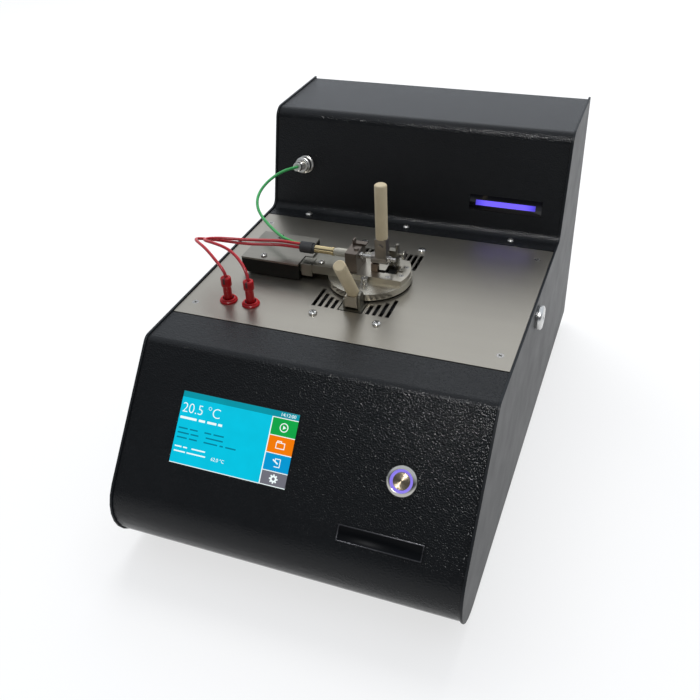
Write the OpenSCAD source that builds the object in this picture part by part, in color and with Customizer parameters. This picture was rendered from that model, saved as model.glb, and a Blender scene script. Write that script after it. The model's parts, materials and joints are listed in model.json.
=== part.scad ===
// Closed-cup flash point tester: a sheet-metal bench case with a heated sample cup,
// a hinged lid with shutter and igniter, and a sloping front with display and button.
// Millimetres. X to the right, Y to the back, Z up. The origin is on the bench,
// under the middle of the case.

/* [Case] */
// Width over both side plates
case_w = 280; // [262:1:310]
// Height of the top edge of the side plates
case_h = 249; // [235:0.5:275]
// Height of the side plates' lower edge above the bench
base_z = 10; // [8:0.5:14]
// Thickness of a side plate
side_t = 2; // [1.5:0.1:3]
// Thickness of the folded covers and the deck plate
sheet_t = 1.5; // [1:0.1:2]
// How far the side plates stand proud of the covers
rim = 1.2; // [0.8:0.1:2]
// Depth of the tower at its top
tower_top_d = 96; // [85:1:110]
// Backward lean of the tower face
tower_lean = 15.2; // [10:0.2:18]
// Height of the deck above the bench
deck_h = 158; // [150:1:165]
// Distance along the deck from the tower face to the front bend
deck_run = 239.4; // [236:0.2:250]
// Slope of the front panel from the horizontal
front_angle = 48.2; // [44:0.2:52]
// Bend radius at the tower's top front edge
tower_r = 12.4; // [8:0.2:16]
// Bend radius where the tower meets the deck
tower_foot_r = 8.3; // [5:0.1:10]
// Bend radius between deck and front slope
bend_r = 9.7; // [6:0.1:14]
// Radius of the rounded lower front
nose_r = 37; // [30:1:42]
// Radius of a rubber foot at its top
foot_r = 11; // [9:0.5:14]

/* [Deck] */
// Distance from the tower face to the deck plate
plate_back_gap = 18.4; // [17:0.2:24]
// Length of the stainless deck plate, front to back
plate_len = 181.5; // [178:0.5:188]
// Gap in front of the deck plate and behind it
plate_gap = 1.1; // [0.6:0.1:1.6]
// Gap between the deck plate and a side plate
plate_side_gap = 0.4; // [0.2:0.1:1]
// Distance from the tower face to the cup's axis
cup_from_tower = 109.4; // [106:0.2:113]
// Radius of the round opening under the lid
cup_hole_r = 34.4; // [34:0.1:35]
// Width of a vent slot in the deck plate
slot_w = 3.2; // [2.4:0.1:3.4]
// Distance of the slots' outer ends from the cup's axis
slot_reach = 50; // [48:0.5:54]

/* [Front panel] */
// Width of the display
screen_w = 96.2; // [90:0.2:100]
// Height of the display along the slope
screen_h = 55.1; // [50:0.1:58]
// Middle of the display, left of the centre line
screen_x = 48.4; // [44:0.2:60]
// Distance of the display's middle down the slope
screen_s = 62; // [52:0.5:70]
// Place of the power button, right of the centre line
button_x = 83.1; // [76:0.1:95]
// Distance of the power button down the slope
button_s = 64.4; // [50:0.1:76]
// Radius of the power button's bezel
bezel_r = 11; // [10.4:0.1:13]

/* [Cup] */
// Inner radius of the sample cup
cup_r = 24.8; // [22:0.1:26]
// Inner depth of the sample cup
cup_depth = 10; // [8:0.1:12]
// Wall of the sample cup
cup_wall = 1.6; // [1:0.1:2.4]
// Radius of the heated block
block_r = 33; // [32.8:0.1:34]
// Height of the heated block
block_h = 46; // [40:1:52]

/* [Lid] */
// Radius of the lid disc
lid_r = 35.2; // [35:0.1:35.6]
// Thickness of the lid disc
lid_t = 5.7; // [5:0.1:6.2]
// Thickness of the guide plate on the disc
guide_t = 4.7; // [4.4:0.1:5]
// Thickness of the lid's arm
arm_t = 7.8; // [7.4:0.1:8.2]
// Length of the hinge housing
house_l = 53; // [50:0.5:55]
// Depth of the hinge housing, front to back
house_d = 48; // [44:0.5:50]
// Radius of the hinge pin
pin_r = 2; // [1.5:0.1:2.4]

/* [Igniter and shutter] */
// Height of the igniter shaft above the deck
shaft_z = 24.8; // [24.6:0.1:26]
// Radius of the igniter shaft
shaft_r = 1.7; // [1.4:0.1:1.9]
// Radius of the insulating grips
grip_r = 5; // [4.6:0.1:5.3]
// Length of the grip on the lever
grip_l = 46.5; // [40:0.5:55]
// Length of the grip on the latch
latch_grip_l = 49; // [40:0.5:55]
// Angle that the lever swings back
lever_swing = 55; // [40:1:55]
// Travel of the shutter
shutter_travel = 6.2; // [5:0.1:6.4]

/* [Leads] */
// Diameter of a test lead
lead_d = 2.6; // [2.2:0.1:2.7]
// Distance between the two lead sockets
socket_pitch = 20.3; // [19:0.1:24]

/* [Hidden] */
$fn = 48;
eps = 0.01;
// Running clearance of a shaft or pin in its bore
run_fit = 0.05;
// Clearance of a screw in its hole
screw_fit = 0.1;

// Case profile, worked out from the back edge forwards
deck_edge = deck_h + rim;
tower_foot_d = tower_top_d + (case_h - deck_edge) * tan(tower_lean);
bend_d = tower_foot_d + deck_run;
nose_foot_d = bend_d + (deck_edge - base_z) / tan(front_angle);
case_d = nose_foot_d - nose_r / tan(front_angle / 2) + nose_r;
back_y = case_d / 2;
inner_w = case_w - 2 * side_t;
// Corners of the side profile as [y, z], with the radius and turn of each
profile_corners = [[back_y, base_z], [back_y, case_h],
    [back_y - tower_top_d, case_h], [back_y - tower_foot_d, deck_edge],
    [back_y - bend_d, deck_edge], [back_y - nose_foot_d, base_z]];
profile_radii = [0, 0, tower_r, tower_foot_r, bend_r, nose_r];
profile_turns = [1, 1, 1, -1, 1, 1];
arc_steps = 10;

function unit(v) = v / norm(v);
function left_of(v) = [-v[1], v[0]];
function wrap(i, n) = (i + n) % n;
// Corners moved inwards by d, so that every side moves by d
function inset(p, d) = [for (i = [0:len(p) - 1])
    let (n = len(p), a = left_of(unit(p[i] - p[wrap(i - 1, n)])),
        b = left_of(unit(p[wrap(i + 1, n)] - p[i])))
    p[i] + d * (a + b) / (1 + a * b)];
// Points of a round corner at p between its neighbours a and b
function corner_arc(a, p, b, r) = r < 0.05 ? [p] :
    let (u = unit(a - p), v = unit(b - p), half = acos(u * v) / 2,
        c = p + unit(u + v) * r / sin(half),
        s = p + u * r / tan(half) - c, e = p + v * r / tan(half) - c,
        a0 = atan2(s[1], s[0]), turn = atan2(e[1], e[0]) - a0,
        da = turn > 180 ? turn - 360 : turn < -180 ? turn + 360 : turn)
    [for (k = [0:arc_steps]) c + r * [cos(a0 + da * k / arc_steps),
        sin(a0 + da * k / arc_steps)]];
function outline(d) = let (p = inset(profile_corners, d), n = len(p))
    [for (i = [0:n - 1]) each corner_arc(p[wrap(i - 1, n)], p[i], p[wrap(i + 1, n)],
        profile_radii[i] == 0 ? 0 : profile_radii[i] - profile_turns[i] * d)];

cover_corners = inset(profile_corners, rim);
bend_y = cover_corners[4][0];
tower_foot_y = cover_corners[3][0];
cup_y = back_y - tower_foot_d - cup_from_tower;
plate_back_y = back_y - tower_foot_d - plate_back_gap;
plate_front_y = plate_back_y - plate_len;
nose_lip_y = cover_corners[5][0] + nose_r / tan(front_angle / 2) + 12;
floor_z = base_z + rim;
panel_y = back_y - 9;
// How far the rear cover reaches past the rear panel
rear_lip = 5.8;
strip_screw_y = plate_back_y + plate_back_gap / 2;

// Flat drawing in [y, z], made w wide along X from x0
module along_x(x0, w) translate([x0, 0, 0]) rotate([90, 0, 90]) linear_extrude(w) children();
// Place on the front slope: x, distance s down from the bend, height above the surface
module on_front(x, s, h = 0) translate([0, bend_y, deck_h]) rotate([front_angle, 0, 0])
    translate([x, -s, h]) children();
// Place on the tower face: x, distance t up from the deck
module on_tower(x, t, h = 0) translate([0, tower_foot_y, deck_h])
    rotate([90 - tower_lean, 0, 0]) translate([x, t, h]) children();
// Place at the cup's axis, on the deck surface
module at_cup() translate([0, cup_y, deck_h]) children();
module tube(r, bore, h) difference() {
    cylinder(r = r, h = h);
    translate([0, 0, -1]) cylinder(r = bore, h = h + 2);
}
// Box between two corners
module span(a, b) translate(a) cube(b - a);
// Cylinder along X from x0 to x1
module rod_x(x0, x1, r) translate([x0, 0, 0]) rotate([0, 90, 0]) cylinder(r = r, h = x1 - x0);
module rod_y(y0, y1, r) translate([0, y0, 0]) rotate([-90, 0, 0]) cylinder(r = r, h = y1 - y0);
// Cross recess of a screw head
module cross_recess(r, depth) for (a = [45, 135]) rotate([0, 0, a])
    translate([-r, -r / 5, -depth]) cube([2 * r, 2 * r / 5, depth + 2]);
// Domed screw, head on z = 0, shank down
module pan_screw(head_r, head_h, shank_r, shank_l) difference() {
    union() {
        cylinder(r = head_r, h = head_h * 0.5);
        translate([0, 0, head_h * 0.5 - eps]) cylinder(r1 = head_r, r2 = head_r * 0.62,
            h = head_h * 0.5);
        translate([0, 0, -shank_l]) cylinder(r = shank_r, h = shank_l + eps);
    }
    translate([0, 0, head_h]) cross_recess(head_r * 0.6, head_h * 0.6);
}
// Countersunk screw, flush with z = 0
module flat_screw(head_r, shank_r, shank_l) difference() {
    union() {
        translate([0, 0, shank_r - head_r]) cylinder(r1 = shank_r, r2 = head_r,
            h = head_r - shank_r);
        translate([0, 0, -shank_l]) cylinder(r = shank_r, h = shank_l - (head_r - shank_r) + eps);
    }
    cross_recess(head_r * 0.6, 0.8);
}
module flat_screw_hole(head_r, shank_r, depth) {
    translate([0, 0, shank_r - head_r])
        cylinder(r1 = shank_r, r2 = head_r + 1, h = head_r - shank_r + 1);
    translate([0, 0, -depth]) cylinder(r = shank_r, h = depth);
}

// Case shell

paint = [0.10, 0.11, 0.12];
steel = [0.62, 0.61, 0.58];
chrome = [0.8, 0.8, 0.8];

module side_plates() color([0.45, 0.46, 0.46]) {
    along_x(-case_w / 2, side_t) polygon(outline(0));
    along_x(case_w / 2 - side_t, side_t) polygon(outline(0));
}
module cover_ring() difference() {
    polygon(outline(rim));
    polygon(outline(rim + sheet_t));
}
screen_gap = 0.3;
button_bore_r = bezel_r - 1.4;
module front_cover() color(paint) difference() {
    along_x(-inner_w / 2, inner_w) intersection() {
        cover_ring();
        union() {
            translate([-case_d, 0]) square([case_d + nose_lip_y, case_h]);
            translate([-case_d, case_h / 5])
                square([case_d + plate_front_y - plate_gap, case_h]);
        }
    }
    on_front(-screen_x - screen_w / 2 - screen_gap, screen_s + screen_h / 2 + screen_gap, -10)
        cube([screen_w + 2 * screen_gap, screen_h + 2 * screen_gap, 20]);
    on_front(button_x, button_s, -10) cylinder(r = button_bore_r, h = 20);
}
window_w = 65.5;
window_h = 13.9;
window_x = case_w / 2 - 52.2;
window_t = 26.5;
socket_from_side = 32.15;
socket_x = -case_w / 2 + socket_from_side;
socket_t = 43.4;
socket_bore_r = 6;
strip_screw_in = [41, 42];
strip_screw_x = [-case_w / 2 + strip_screw_in[0], 0, case_w / 2 - strip_screw_in[1]];
module rear_cover() color(paint) difference() {
    along_x(-inner_w / 2, inner_w) intersection() {
        cover_ring();
        translate([plate_back_y + plate_gap, case_h / 4])
            square([panel_y + rear_lip - plate_back_y - plate_gap, case_h]);
    }
    on_tower(window_x - window_w / 2, window_t - window_h / 2, -10) cube([window_w, window_h, 20]);
    on_tower(socket_x, socket_t, -10) cylinder(r = socket_bore_r, h = 20);
    for (x = strip_screw_x) translate([x, strip_screw_y, deck_h - 10])
        cylinder(r = strip_shank_r + screw_fit, h = 20);
}
strip_shank_r = 1.5;
strip_head_r = 3.1;
corner_shank_r = 1.5;
corner_head_r = 2.9;
corner_x = inner_w / 2 - 11;
corner_inset = 17.3;
corner_y = [plate_front_y + corner_inset, plate_back_y - corner_inset];
module corner_places() for (x = [-corner_x, corner_x], y = corner_y)
    translate([x, y, deck_h]) children();

// Big screws on a rectangle round the cup
block_screw_x = 26.9;
block_screw_y = 61;
block_shank_r = 1.9;
block_head_r = 3.5;
module block_screw_places() at_cup() for (x = [-1, 1], y = [-1, 1])
    translate([x * block_screw_x, y * block_screw_y, 0]) children();

// Cut-out for the latch, open to the round hole
latch_x = 1.1;
latch_cut_w = 21.3;
latch_cut_y = 50.5;
front_slots = [14.9, 20.4, 26, 31.5];
back_slots = [10.8, 15.6, 20.4, 25.2, 30];
slot_inner_r = cup_hole_r + 5;
module deck_slot(x, dir, reach) {
    inner = sqrt(pow(slot_inner_r, 2) - pow(min(abs(x), slot_inner_r - 1), 2));
    translate([x - slot_w / 2, dir > 0 ? inner : -reach, -5]) cube([slot_w, reach - inner, 10]);
}
// Lead sockets at the front left of the deck
lead_socket_x = -101.4;
lead_socket_y = -62.9;
lead_socket_r = 5;
module lead_places() at_cup() for (i = [0, 1])
    translate([lead_socket_x + i * socket_pitch, lead_socket_y, 0]) children();
module deck_plate() color(steel) difference() {
    span([-inner_w / 2 + plate_side_gap, plate_front_y, deck_h - sheet_t],
        [inner_w / 2 - plate_side_gap, plate_back_y, deck_h]);
    at_cup() translate([0, 0, -5]) cylinder(r = cup_hole_r, h = 10, $fn = 96);
    at_cup() translate([latch_x - latch_cut_w / 2 - 1, -latch_cut_y, -5])
        cube([latch_cut_w, latch_cut_y, 10]);
    at_cup() for (s = [-1, 1]) {
        for (x = front_slots) deck_slot(s * x, -1, slot_reach);
        for (x = back_slots) deck_slot(s * x, 1, slot_reach + 2);
    }
    corner_places() flat_screw_hole(corner_head_r, corner_shank_r + screw_fit, 5);
    block_screw_places() translate([0, 0, -5]) cylinder(r = block_shank_r + screw_fit, h = 10);
    lead_places() translate([0, 0, -5]) cylinder(r = lead_socket_r, h = 10);
}
rail_t = 2;
rail_drop = 14;
rail_top = deck_h - sheet_t;
module deck_rails() color([0.55, 0.56, 0.57]) difference() {
    union() {
        span([-inner_w / 2, plate_front_y - 12, rail_top - rail_t],
            [inner_w / 2, plate_front_y + corner_inset + 7, rail_top]);
        span([-inner_w / 2, plate_front_y + corner_inset + 5, rail_top - rail_drop],
            [inner_w / 2, plate_front_y + corner_inset + 7, rail_top]);
        span([-inner_w / 2, plate_back_y - corner_inset - 7, rail_top - rail_t],
            [inner_w / 2, plate_back_y + plate_back_gap - tower_foot_r, rail_top]);
        span([-inner_w / 2, plate_back_y - corner_inset - 7, rail_top - rail_drop],
            [inner_w / 2, plate_back_y - corner_inset - 5, rail_top]);
    }
    corner_places() translate([0, 0, -20]) cylinder(r = corner_shank_r + screw_fit, h = 30);
    for (x = strip_screw_x) translate([x, strip_screw_y, deck_h - 20])
        cylinder(r = strip_shank_r + screw_fit, h = 30);
    block_screw_places() translate([0, 0, -20]) cylinder(r = standoff_r + screw_fit, h = 30);
    lead_places() translate([0, 0, -20]) cylinder(r = lead_socket_r + 3, h = 30);
}
foot_x = inner_w / 2 - 32;
foot_y = [nose_lip_y + 22, panel_y - 30];
foot_screw_r = 2;
module foot_places() for (x = [-foot_x, foot_x], y = foot_y) translate([x, y, 0]) children();
module base_plate() color(paint) difference() {
    span([-inner_w / 2, nose_lip_y, floor_z], [inner_w / 2, panel_y - sheet_t, floor_z + sheet_t]);
    for (x = [-60:12:60], y = [-90, 30]) translate([x - 2, y, floor_z - 5]) cube([4, 60, 20]);
    foot_places() cylinder(r = foot_screw_r + screw_fit, h = floor_z + 20);
}
inlet_x = case_w / 2 - 52;
inlet_z = 50;
inlet_w = 28;
inlet_h = 48;
fan_x = -case_w / 2 + 80;
fan_z = 110;
fan_size = 60;
panel_top = case_h - rim - sheet_t;
module fan_grille() {
    for (k = [1:3]) difference() {
        cylinder(r = 5 + 7.2 * k, h = 20);
        translate([0, 0, -1]) cylinder(r = 1 + 7.2 * k, h = 22);
        for (a = [45, 135]) rotate([0, 0, a]) translate([-40, -1.5, -2]) cube([80, 3, 24]);
    }
}
module rear_panel() color(paint) difference() {
    span([-inner_w / 2, panel_y - sheet_t, floor_z], [inner_w / 2, panel_y, panel_top]);
    span([inlet_x - inlet_w / 2, panel_y - 10, inlet_z - inlet_h / 2],
        [inlet_x + inlet_w / 2, panel_y + 10, inlet_z + inlet_h / 2]);
    translate([fan_x, panel_y + 10, fan_z]) rotate([90, 0, 0]) fan_grille();
    for (i = [0:7]) translate([-10 + 12 * i, panel_y - 10, 150]) cube([4, 20, 50]);
}
module rubber_feet() color([0.05, 0.05, 0.05]) foot_places() difference() {
    cylinder(r1 = foot_r - 1.5, r2 = foot_r, h = floor_z);
    translate([0, 0, -1]) cylinder(r = 4.5, h = 5);
    cylinder(r = foot_screw_r + screw_fit, h = floor_z + 5);
}
module case_screws() color(chrome) {
    for (x = strip_screw_x) translate([x, strip_screw_y, deck_h])
        pan_screw(strip_head_r, 2.1, strip_shank_r, 8);
    corner_places() flat_screw(corner_head_r, corner_shank_r, 8);
    foot_places() translate([0, 0, 4]) rotate([180, 0, 0])
        pan_screw(3.8, 2.6, foot_screw_r, floor_z + 2);
}
knob_r = 10;
knob_t = 5;
knob_z = deck_h - 17;
module side_knob() color([0.75, 0.76, 0.76]) translate([case_w / 2, cup_y + 10.8, knob_z])
    rod_x(0, knob_t, knob_r);

// Front panel

plaque_w = 62.9;
plaque_h = 12;
plaque_t = 0.9;
plaque_x = case_w / 2 - 63.8;
plaque_s = 109;
module nameplate() color([0.06, 0.06, 0.07])
    on_front(plaque_x - plaque_w / 2, plaque_s + plaque_h / 2) cube([plaque_w, plaque_h, plaque_t]);
module display_glass() color([0, 0.6, 0.7])
    on_front(-screen_x - screen_w / 2, screen_s + screen_h / 2, -sheet_t)
        cube([screen_w, screen_h, sheet_t - 0.2]);
module display_module() color([0.1, 0.3, 0.12]) {
    on_front(-screen_x - screen_w / 2 - 5, screen_s + screen_h / 2 + 5, -sheet_t - 6)
        cube([screen_w + 10, screen_h + 10, 6]);
}
module button_housing() color(chrome) on_front(button_x, button_s) difference() {
    union() {
        cylinder(r = bezel_r, h = 1.9);
        translate([0, 0, -24]) cylinder(r = button_bore_r - 0.2, h = 24 + eps);
        translate([0, 0, -sheet_t - 3]) cylinder(r = bezel_r + 0.4, h = 3, $fn = 6);
    }
    translate([0, 0, -8]) cylinder(r = bezel_r - 3.6, h = 20);
}
module button_cap() color(chrome) on_front(button_x, button_s, -4.5)
    cylinder(r = bezel_r - 3.8, h = 6);
module light_window() color([0.2, 0.15, 0.5]) difference() {
    on_tower(window_x - window_w / 2, window_t - window_h / 2, -sheet_t - 3)
        cube([window_w, window_h, sheet_t + 2.6]);
    on_tower(window_x - window_w / 2 + 3, window_t - window_h / 2 + 3, -20)
        cube([window_w - 6, window_h - 6, 17.5]);
}

// Signal connector on the tower: panel socket, plug and its bayonet ring

plug_l = 21.5;
module signal_socket() color(chrome) on_tower(socket_x, socket_t) {
    difference() {
        union() {
            cylinder(r = 8.2, h = 1.6);
            cylinder(r = 4.8, h = 9);
            translate([0, 0, -14]) cylinder(r = socket_bore_r - 0.15, h = 14 + eps);
            translate([0, 0, -sheet_t - 2.5]) cylinder(r = 8.6, h = 2.5, $fn = 6);
        }
        translate([0, 0, 3]) cylinder(r = 3.4, h = 10);
    }
}
module signal_plug() color([0.72, 0.72, 0.7]) on_tower(socket_x, socket_t) {
    translate([0, 0, 4]) cylinder(r = 3.3, h = plug_l - 4);
    translate([0, 0, 14]) cylinder(r = 4.6, h = plug_l - 14.5, $fn = 6);
    translate([0, 0, 12.6]) cylinder(r = 4.1, h = 2);
}
module coupling_ring() color([0.8, 0.8, 0.78]) on_tower(socket_x, socket_t) difference() {
    union() {
        translate([0, 0, 2.2]) cylinder(r = 7, h = 9.8);
        translate([0, 0, 3.6]) cylinder(r = 7.5, h = 5);
    }
    translate([0, 0, 1]) cylinder(r = 4.85, h = 8.4);
    translate([0, 0, 1]) cylinder(r = 3.35, h = 20);
    for (a = [0:20:340]) rotate([0, 0, a]) translate([7.7, -0.5, 3]) cube([2, 1, 7]);
}

// Lead sockets and plugs

socket_flange_r = 7.4;
plug_top = 22;
module lead_sockets() color([0.6, 0.05, 0.08]) lead_places() difference() {
    union() {
        cylinder(r1 = socket_flange_r, r2 = socket_flange_r - 1.2, h = 3);
        translate([0, 0, -18]) cylinder(r = lead_socket_r - 0.1, h = 18 + eps);
        translate([0, 0, -sheet_t - 3]) cylinder(r = 7, h = 3, $fn = 6);
    }
    translate([0, 0, -16]) cylinder(r = 2.1, h = 30);
}
module lead_plugs() color([0.7, 0.05, 0.1]) lead_places() {
    translate([0, 0, -12]) cylinder(r = 2, h = 15.1);
    translate([0, 0, 3]) cylinder(r = 4.4, h = plug_top - 9);
    translate([0, 0, plug_top - 6]) cylinder(r1 = 4.4, r2 = 4.1, h = 6);
}

// Routes of the leads, measured from the cup's axis on the deck; ends in plug and boot
boot_x0 = -60;
boot_x1 = -47;
shaft_y = -3;
red_route_1 = [[-60, -5, 24.9], [-63, -5, 24.9], [-73.2, -4.8, 24.7], [-81.4, -5.5, 24.7], [-93.2, -9, 25.1],
    [-103.9, -12, 25.4], [-115.6, -13.1, 25.4], [-125.2, -14.3, 26], [-132.6, -16.6, 27.2],
    [-138.8, -20, 28.9], [-142.5, -23.1, 30.4], [-144.1, -25.4, 31.5], [-144.7, -27.4, 32.4],
    [-144.6, -29.6, 33.3], [-143.6, -32.3, 34.4], [-140.9, -36.1, 35.7], [-135.2, -41.5, 37.1],
    [-127.4, -47.3, 37.5], [-120, -52.4, 36.4], [-112.2, -57.4, 33.6], [-105.3, -61.3, 29.9],
    [-103.1, -62.4, 28], [-102, -62.8, 26.4], [-101.4, -62.9, 24.6], [-101.4, -62.9, 22]];
red_route_2 = [[-60, -4, 27.9], [-63, -4, 27.9], [-74.3, -4, 28], [-83.4, -4.9, 28], [-95.4, -7.8, 28.1],
    [-109, -11.1, 28.3], [-120.5, -13.9, 28.9], [-126.9, -16.4, 29.7], [-130.7, -18.7, 30.5],
    [-133, -21.1, 31.3], [-134.5, -23.7, 32.3], [-135.3, -26.8, 33.5], [-135.3, -30, 34.7],
    [-134.6, -32.8, 35.9], [-133.2, -35.3, 36.9], [-130.7, -37.8, 37.9], [-126.3, -40.5, 39.1],
    [-119, -43.6, 40.1], [-109.8, -46.6, 40.2], [-102.1, -49.5, 39.2], [-95, -53, 37.1],
    [-88.4, -57.2, 34.1], [-84.6, -60, 31.3], [-82.7, -61.6, 29], [-81.6, -62.4, 26.8],
    [-81.1, -62.9, 24.6], [-81.1, -62.9, 22]];
green_points = [[-107.85, 100.94, 47.52], [-107.85, 98.04, 48.31], [-108.9, 95.1, 48.9], [-111.5, 91, 49.2],
    [-115.2, 86, 48.7], [-120, 78, 47], [-124, 68, 44], [-126, 57.5, 40], [-124.5, 47.5, 36.5],
    [-120, 38.5, 33], [-113.5, 31, 30.5], [-105.5, 23.5, 29], [-97, 16.5, 27.8], [-88, 9.5, 27.2],
    [-79, 3.4, 27], [-70.5, 0.4, 26.6], [-63.5, -0.8, 26.2], [-60, -0.8, 26.2]];
// The green lead's first points keep to the connector when the case gets wider
green_fade = 12;
green_route = [for (i = [0:len(green_points) - 1]) green_points[i]
    + [(socket_x - green_points[0][0]) * max(0, 1 - i / green_fade), 0, 0]];
lead_sides = 8;
function tangent(p, i) = unit(p[min(i + 1, len(p) - 1)] - p[max(i - 1, 0)]);
// A side vector for each point, carried along the route without twist
function carried(p, i) = i == 0 ? unit(cross(tangent(p, 0), [0.1, 0.3, 1])) :
    let (v = carried(p, i - 1), t = tangent(p, i)) unit(v - (v * t) * t);
function ring_points(c, t, v, r) = let (w = cross(t, v))
    [for (k = [0:lead_sides - 1]) c + r * (v * cos(360 * k / lead_sides)
        + w * sin(360 * k / lead_sides))];
module lead(route) {
    n = len(route);
    m = lead_sides;
    points = [for (i = [0:n - 1]) each ring_points(route[i], tangent(route, i),
        carried(route, i), lead_d / 2)];
    walls = [for (i = [0:n - 2], k = [0:m - 1]) let (a = i * m + k, b = i * m + (k + 1) % m)
        each [[a, a + m, b], [b, a + m, b + m]]];
    ends = [[for (k = [0:m - 1]) k], [for (k = [0:m - 1]) n * m - 1 - k]];
    polyhedron(points, concat(walls, ends));
}
module red_lead_1() color([0.65, 0.05, 0.1]) at_cup() lead(red_route_1);
module red_lead_2() color([0.65, 0.05, 0.1]) at_cup() lead(red_route_2);
module green_lead() color([0.2, 0.6, 0.3]) at_cup() lead(green_route);

// Heated block under the deck

block_top = 1.7;
block_bottom = block_top - block_h;
standoff_r = 4;
sink_w = 2 * block_screw_x + 26;
sink_d = 2 * block_screw_y + 22;
sink_top = block_bottom;
module block_screws() color(chrome) block_screw_places()
    pan_screw(block_head_r, 2.8, block_shank_r, 14);
cup_out_r = cup_r + cup_wall;
cup_floor = 2.2;
cup_top = block_top - 0.2;
seal_r = (cup_out_r + block_r) / 2;
module cup_block() color([0.6, 0.6, 0.6]) at_cup() difference() {
    translate([0, 0, block_bottom]) cylinder(r = block_r, h = block_h);
    translate([0, 0, cup_top - cup_depth - cup_floor]) cylinder(r = cup_out_r + run_fit, h = 40);
    translate([0, 0, block_top - 1.2]) tube(seal_r + 1.2, seal_r - 1.2, 5);
}
module sample_cup() color([0.75, 0.73, 0.65]) at_cup()
    translate([0, 0, cup_top - cup_depth - cup_floor]) difference() {
        cylinder(r = cup_out_r, h = cup_depth + cup_floor);
        translate([0, 0, cup_floor]) cylinder(r = cup_r, h = cup_depth + 5);
    }
module cup_seal() color([0.1, 0.1, 0.1]) at_cup() translate([0, 0, block_top - 1.2])
    tube(seal_r + 1.15, seal_r - 1.15, 1.4);
heater_t = 2.5;
heater_h = 20;
module block_heater() color([0.5, 0.3, 0.2]) at_cup() translate([0, 0, block_bottom + 12])
    tube(block_r + heater_t, block_r, heater_h);
insulation_r = 46;
insulation_h = 40;
insulation_top = block_bottom + insulation_h;
module insulation_ring() color([0.85, 0.83, 0.75]) at_cup() difference() {
    translate([0, 0, sink_top]) cylinder(r = insulation_r, h = insulation_top - sink_top);
    translate([0, 0, sink_top - 1]) cylinder(r = block_r + heater_t, h = 2 * block_h);
}
fin_count = 11;
sink_base = 6;
fin_h = 24;
fin_t = 2;
// Finned heat sink with four posts, hung under the deck by the big screws
module heat_sink() color([0.6, 0.6, 0.62]) {
    at_cup() span([-sink_w / 2, -sink_d / 2, sink_top - sink_base],
        [sink_w / 2, sink_d / 2, sink_top]);
    at_cup() for (k = [0:fin_count - 1])
        let (x = -sink_w / 2 + k * (sink_w - fin_t) / (fin_count - 1))
        span([x, -sink_d / 2, sink_top - sink_base - fin_h],
            [x + fin_t, sink_d / 2, sink_top - sink_base + eps]);
    block_screw_places() difference() {
        translate([0, 0, sink_top - eps]) cylinder(r = standoff_r, h = -sheet_t - sink_top + eps);
        translate([0, 0, -16]) cylinder(r = block_shank_r, h = 20);
    }
}

// Lid hinge: bracket and pin on the deck, housing on the lid

lid_z = 2;
guide_z = lid_z + lid_t;
guide_top = guide_z + guide_t;
arm_top = guide_z + arm_t;
house_x1 = -57.5;
house_x0 = house_x1 - house_l;
house_y = 6;
house_top = arm_top + 0.3;
cover_t = 1.6;
// The hinge axis lies as near to the end as its height allows, so that the lid can stand upright
hinge_r = 7;
hinge_x = house_x0 + hinge_r;
hinge_z = 8;
house_z = hinge_z - hinge_r;
house_y0 = house_y - house_d / 2;
house_y1 = house_y + house_d / 2;
end_wall = 1;
lug_r = 4.6;
lug_t = 7;
lug_y = 11;
lug_reach = 8;
foot_t = 2.6;
bracket_l = 22;
pocket_gap = 0.5;
module hinge_bracket() color(steel) at_cup() difference() {
    union() {
        span([hinge_x + lug_reach - eps, house_y - lug_y - lug_t, 0],
            [hinge_x + bracket_l, house_y + lug_y + lug_t, foot_t]);
        for (s = [-1, 1]) translate([hinge_x, house_y + s * (lug_y + lug_t / 2), 0]) {
            span([-lug_r, -lug_t / 2, 0], [lug_r, lug_t / 2, hinge_z]);
            span([-lug_r, -lug_t / 2, 0], [lug_reach, lug_t / 2, foot_t]);
            translate([0, 0, hinge_z]) rod_y(-lug_t / 2, lug_t / 2, lug_r);
        }
    }
    translate([hinge_x, 0, hinge_z]) rod_y(house_y0 - 5, house_y1 + 5, pin_r);
}
module hinge_pin() color(chrome) at_cup() translate([hinge_x, 0, hinge_z])
    rod_y(house_y0 + end_wall, house_y1 - end_wall, pin_r);
module hinge_block() color([0.04, 0.04, 0.04]) at_cup() difference() {
    union() {
        span([hinge_x, house_y0, house_z], [house_x1, house_y1, house_top - cover_t]);
        span([house_x0, house_y0, hinge_z], [hinge_x + 1, house_y1, house_top - cover_t]);
        intersection() {
            translate([hinge_x, 0, hinge_z]) rod_y(house_y0, house_y1, hinge_r);
            span([house_x0, house_y0, house_z], [hinge_x + 1, house_y1, hinge_z + eps]);
        }
    }
    translate([hinge_x, 0, hinge_z]) rod_y(house_y0 + end_wall, house_y1 + 5, pin_r + run_fit);
    // Slots for the two lugs, open to the end, so that they stay clear as the lid swings
    for (s = [-1, 1]) translate([0, house_y + s * (lug_y + lug_t / 2), 0])
        span([house_x0 - 5, -lug_t / 2 - pocket_gap, -5],
            [hinge_x + lug_reach + pocket_gap, lug_t / 2 + pocket_gap, house_top]);
    // Room for the bracket's foot
    span([hinge_x + lug_reach - pocket_gap, house_y - lug_y - lug_t - pocket_gap, -5],
        [hinge_x + bracket_l + pocket_gap, house_y + lug_y + lug_t + pocket_gap, foot_t + pocket_gap]);
    // Seat of the lid's arm
    span([house_x1 - 12, arm_y0, guide_z], [house_x1 + 5, arm_y1, house_top + 5]);
}
arm_y0 = -14.2;
arm_y1 = 20;
cover_screw_y = [house_y - 17.6, house_y + 17.6];
cover_screw_x = house_x0 + 18.5;
lid_screw_r = 1.2;
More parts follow.
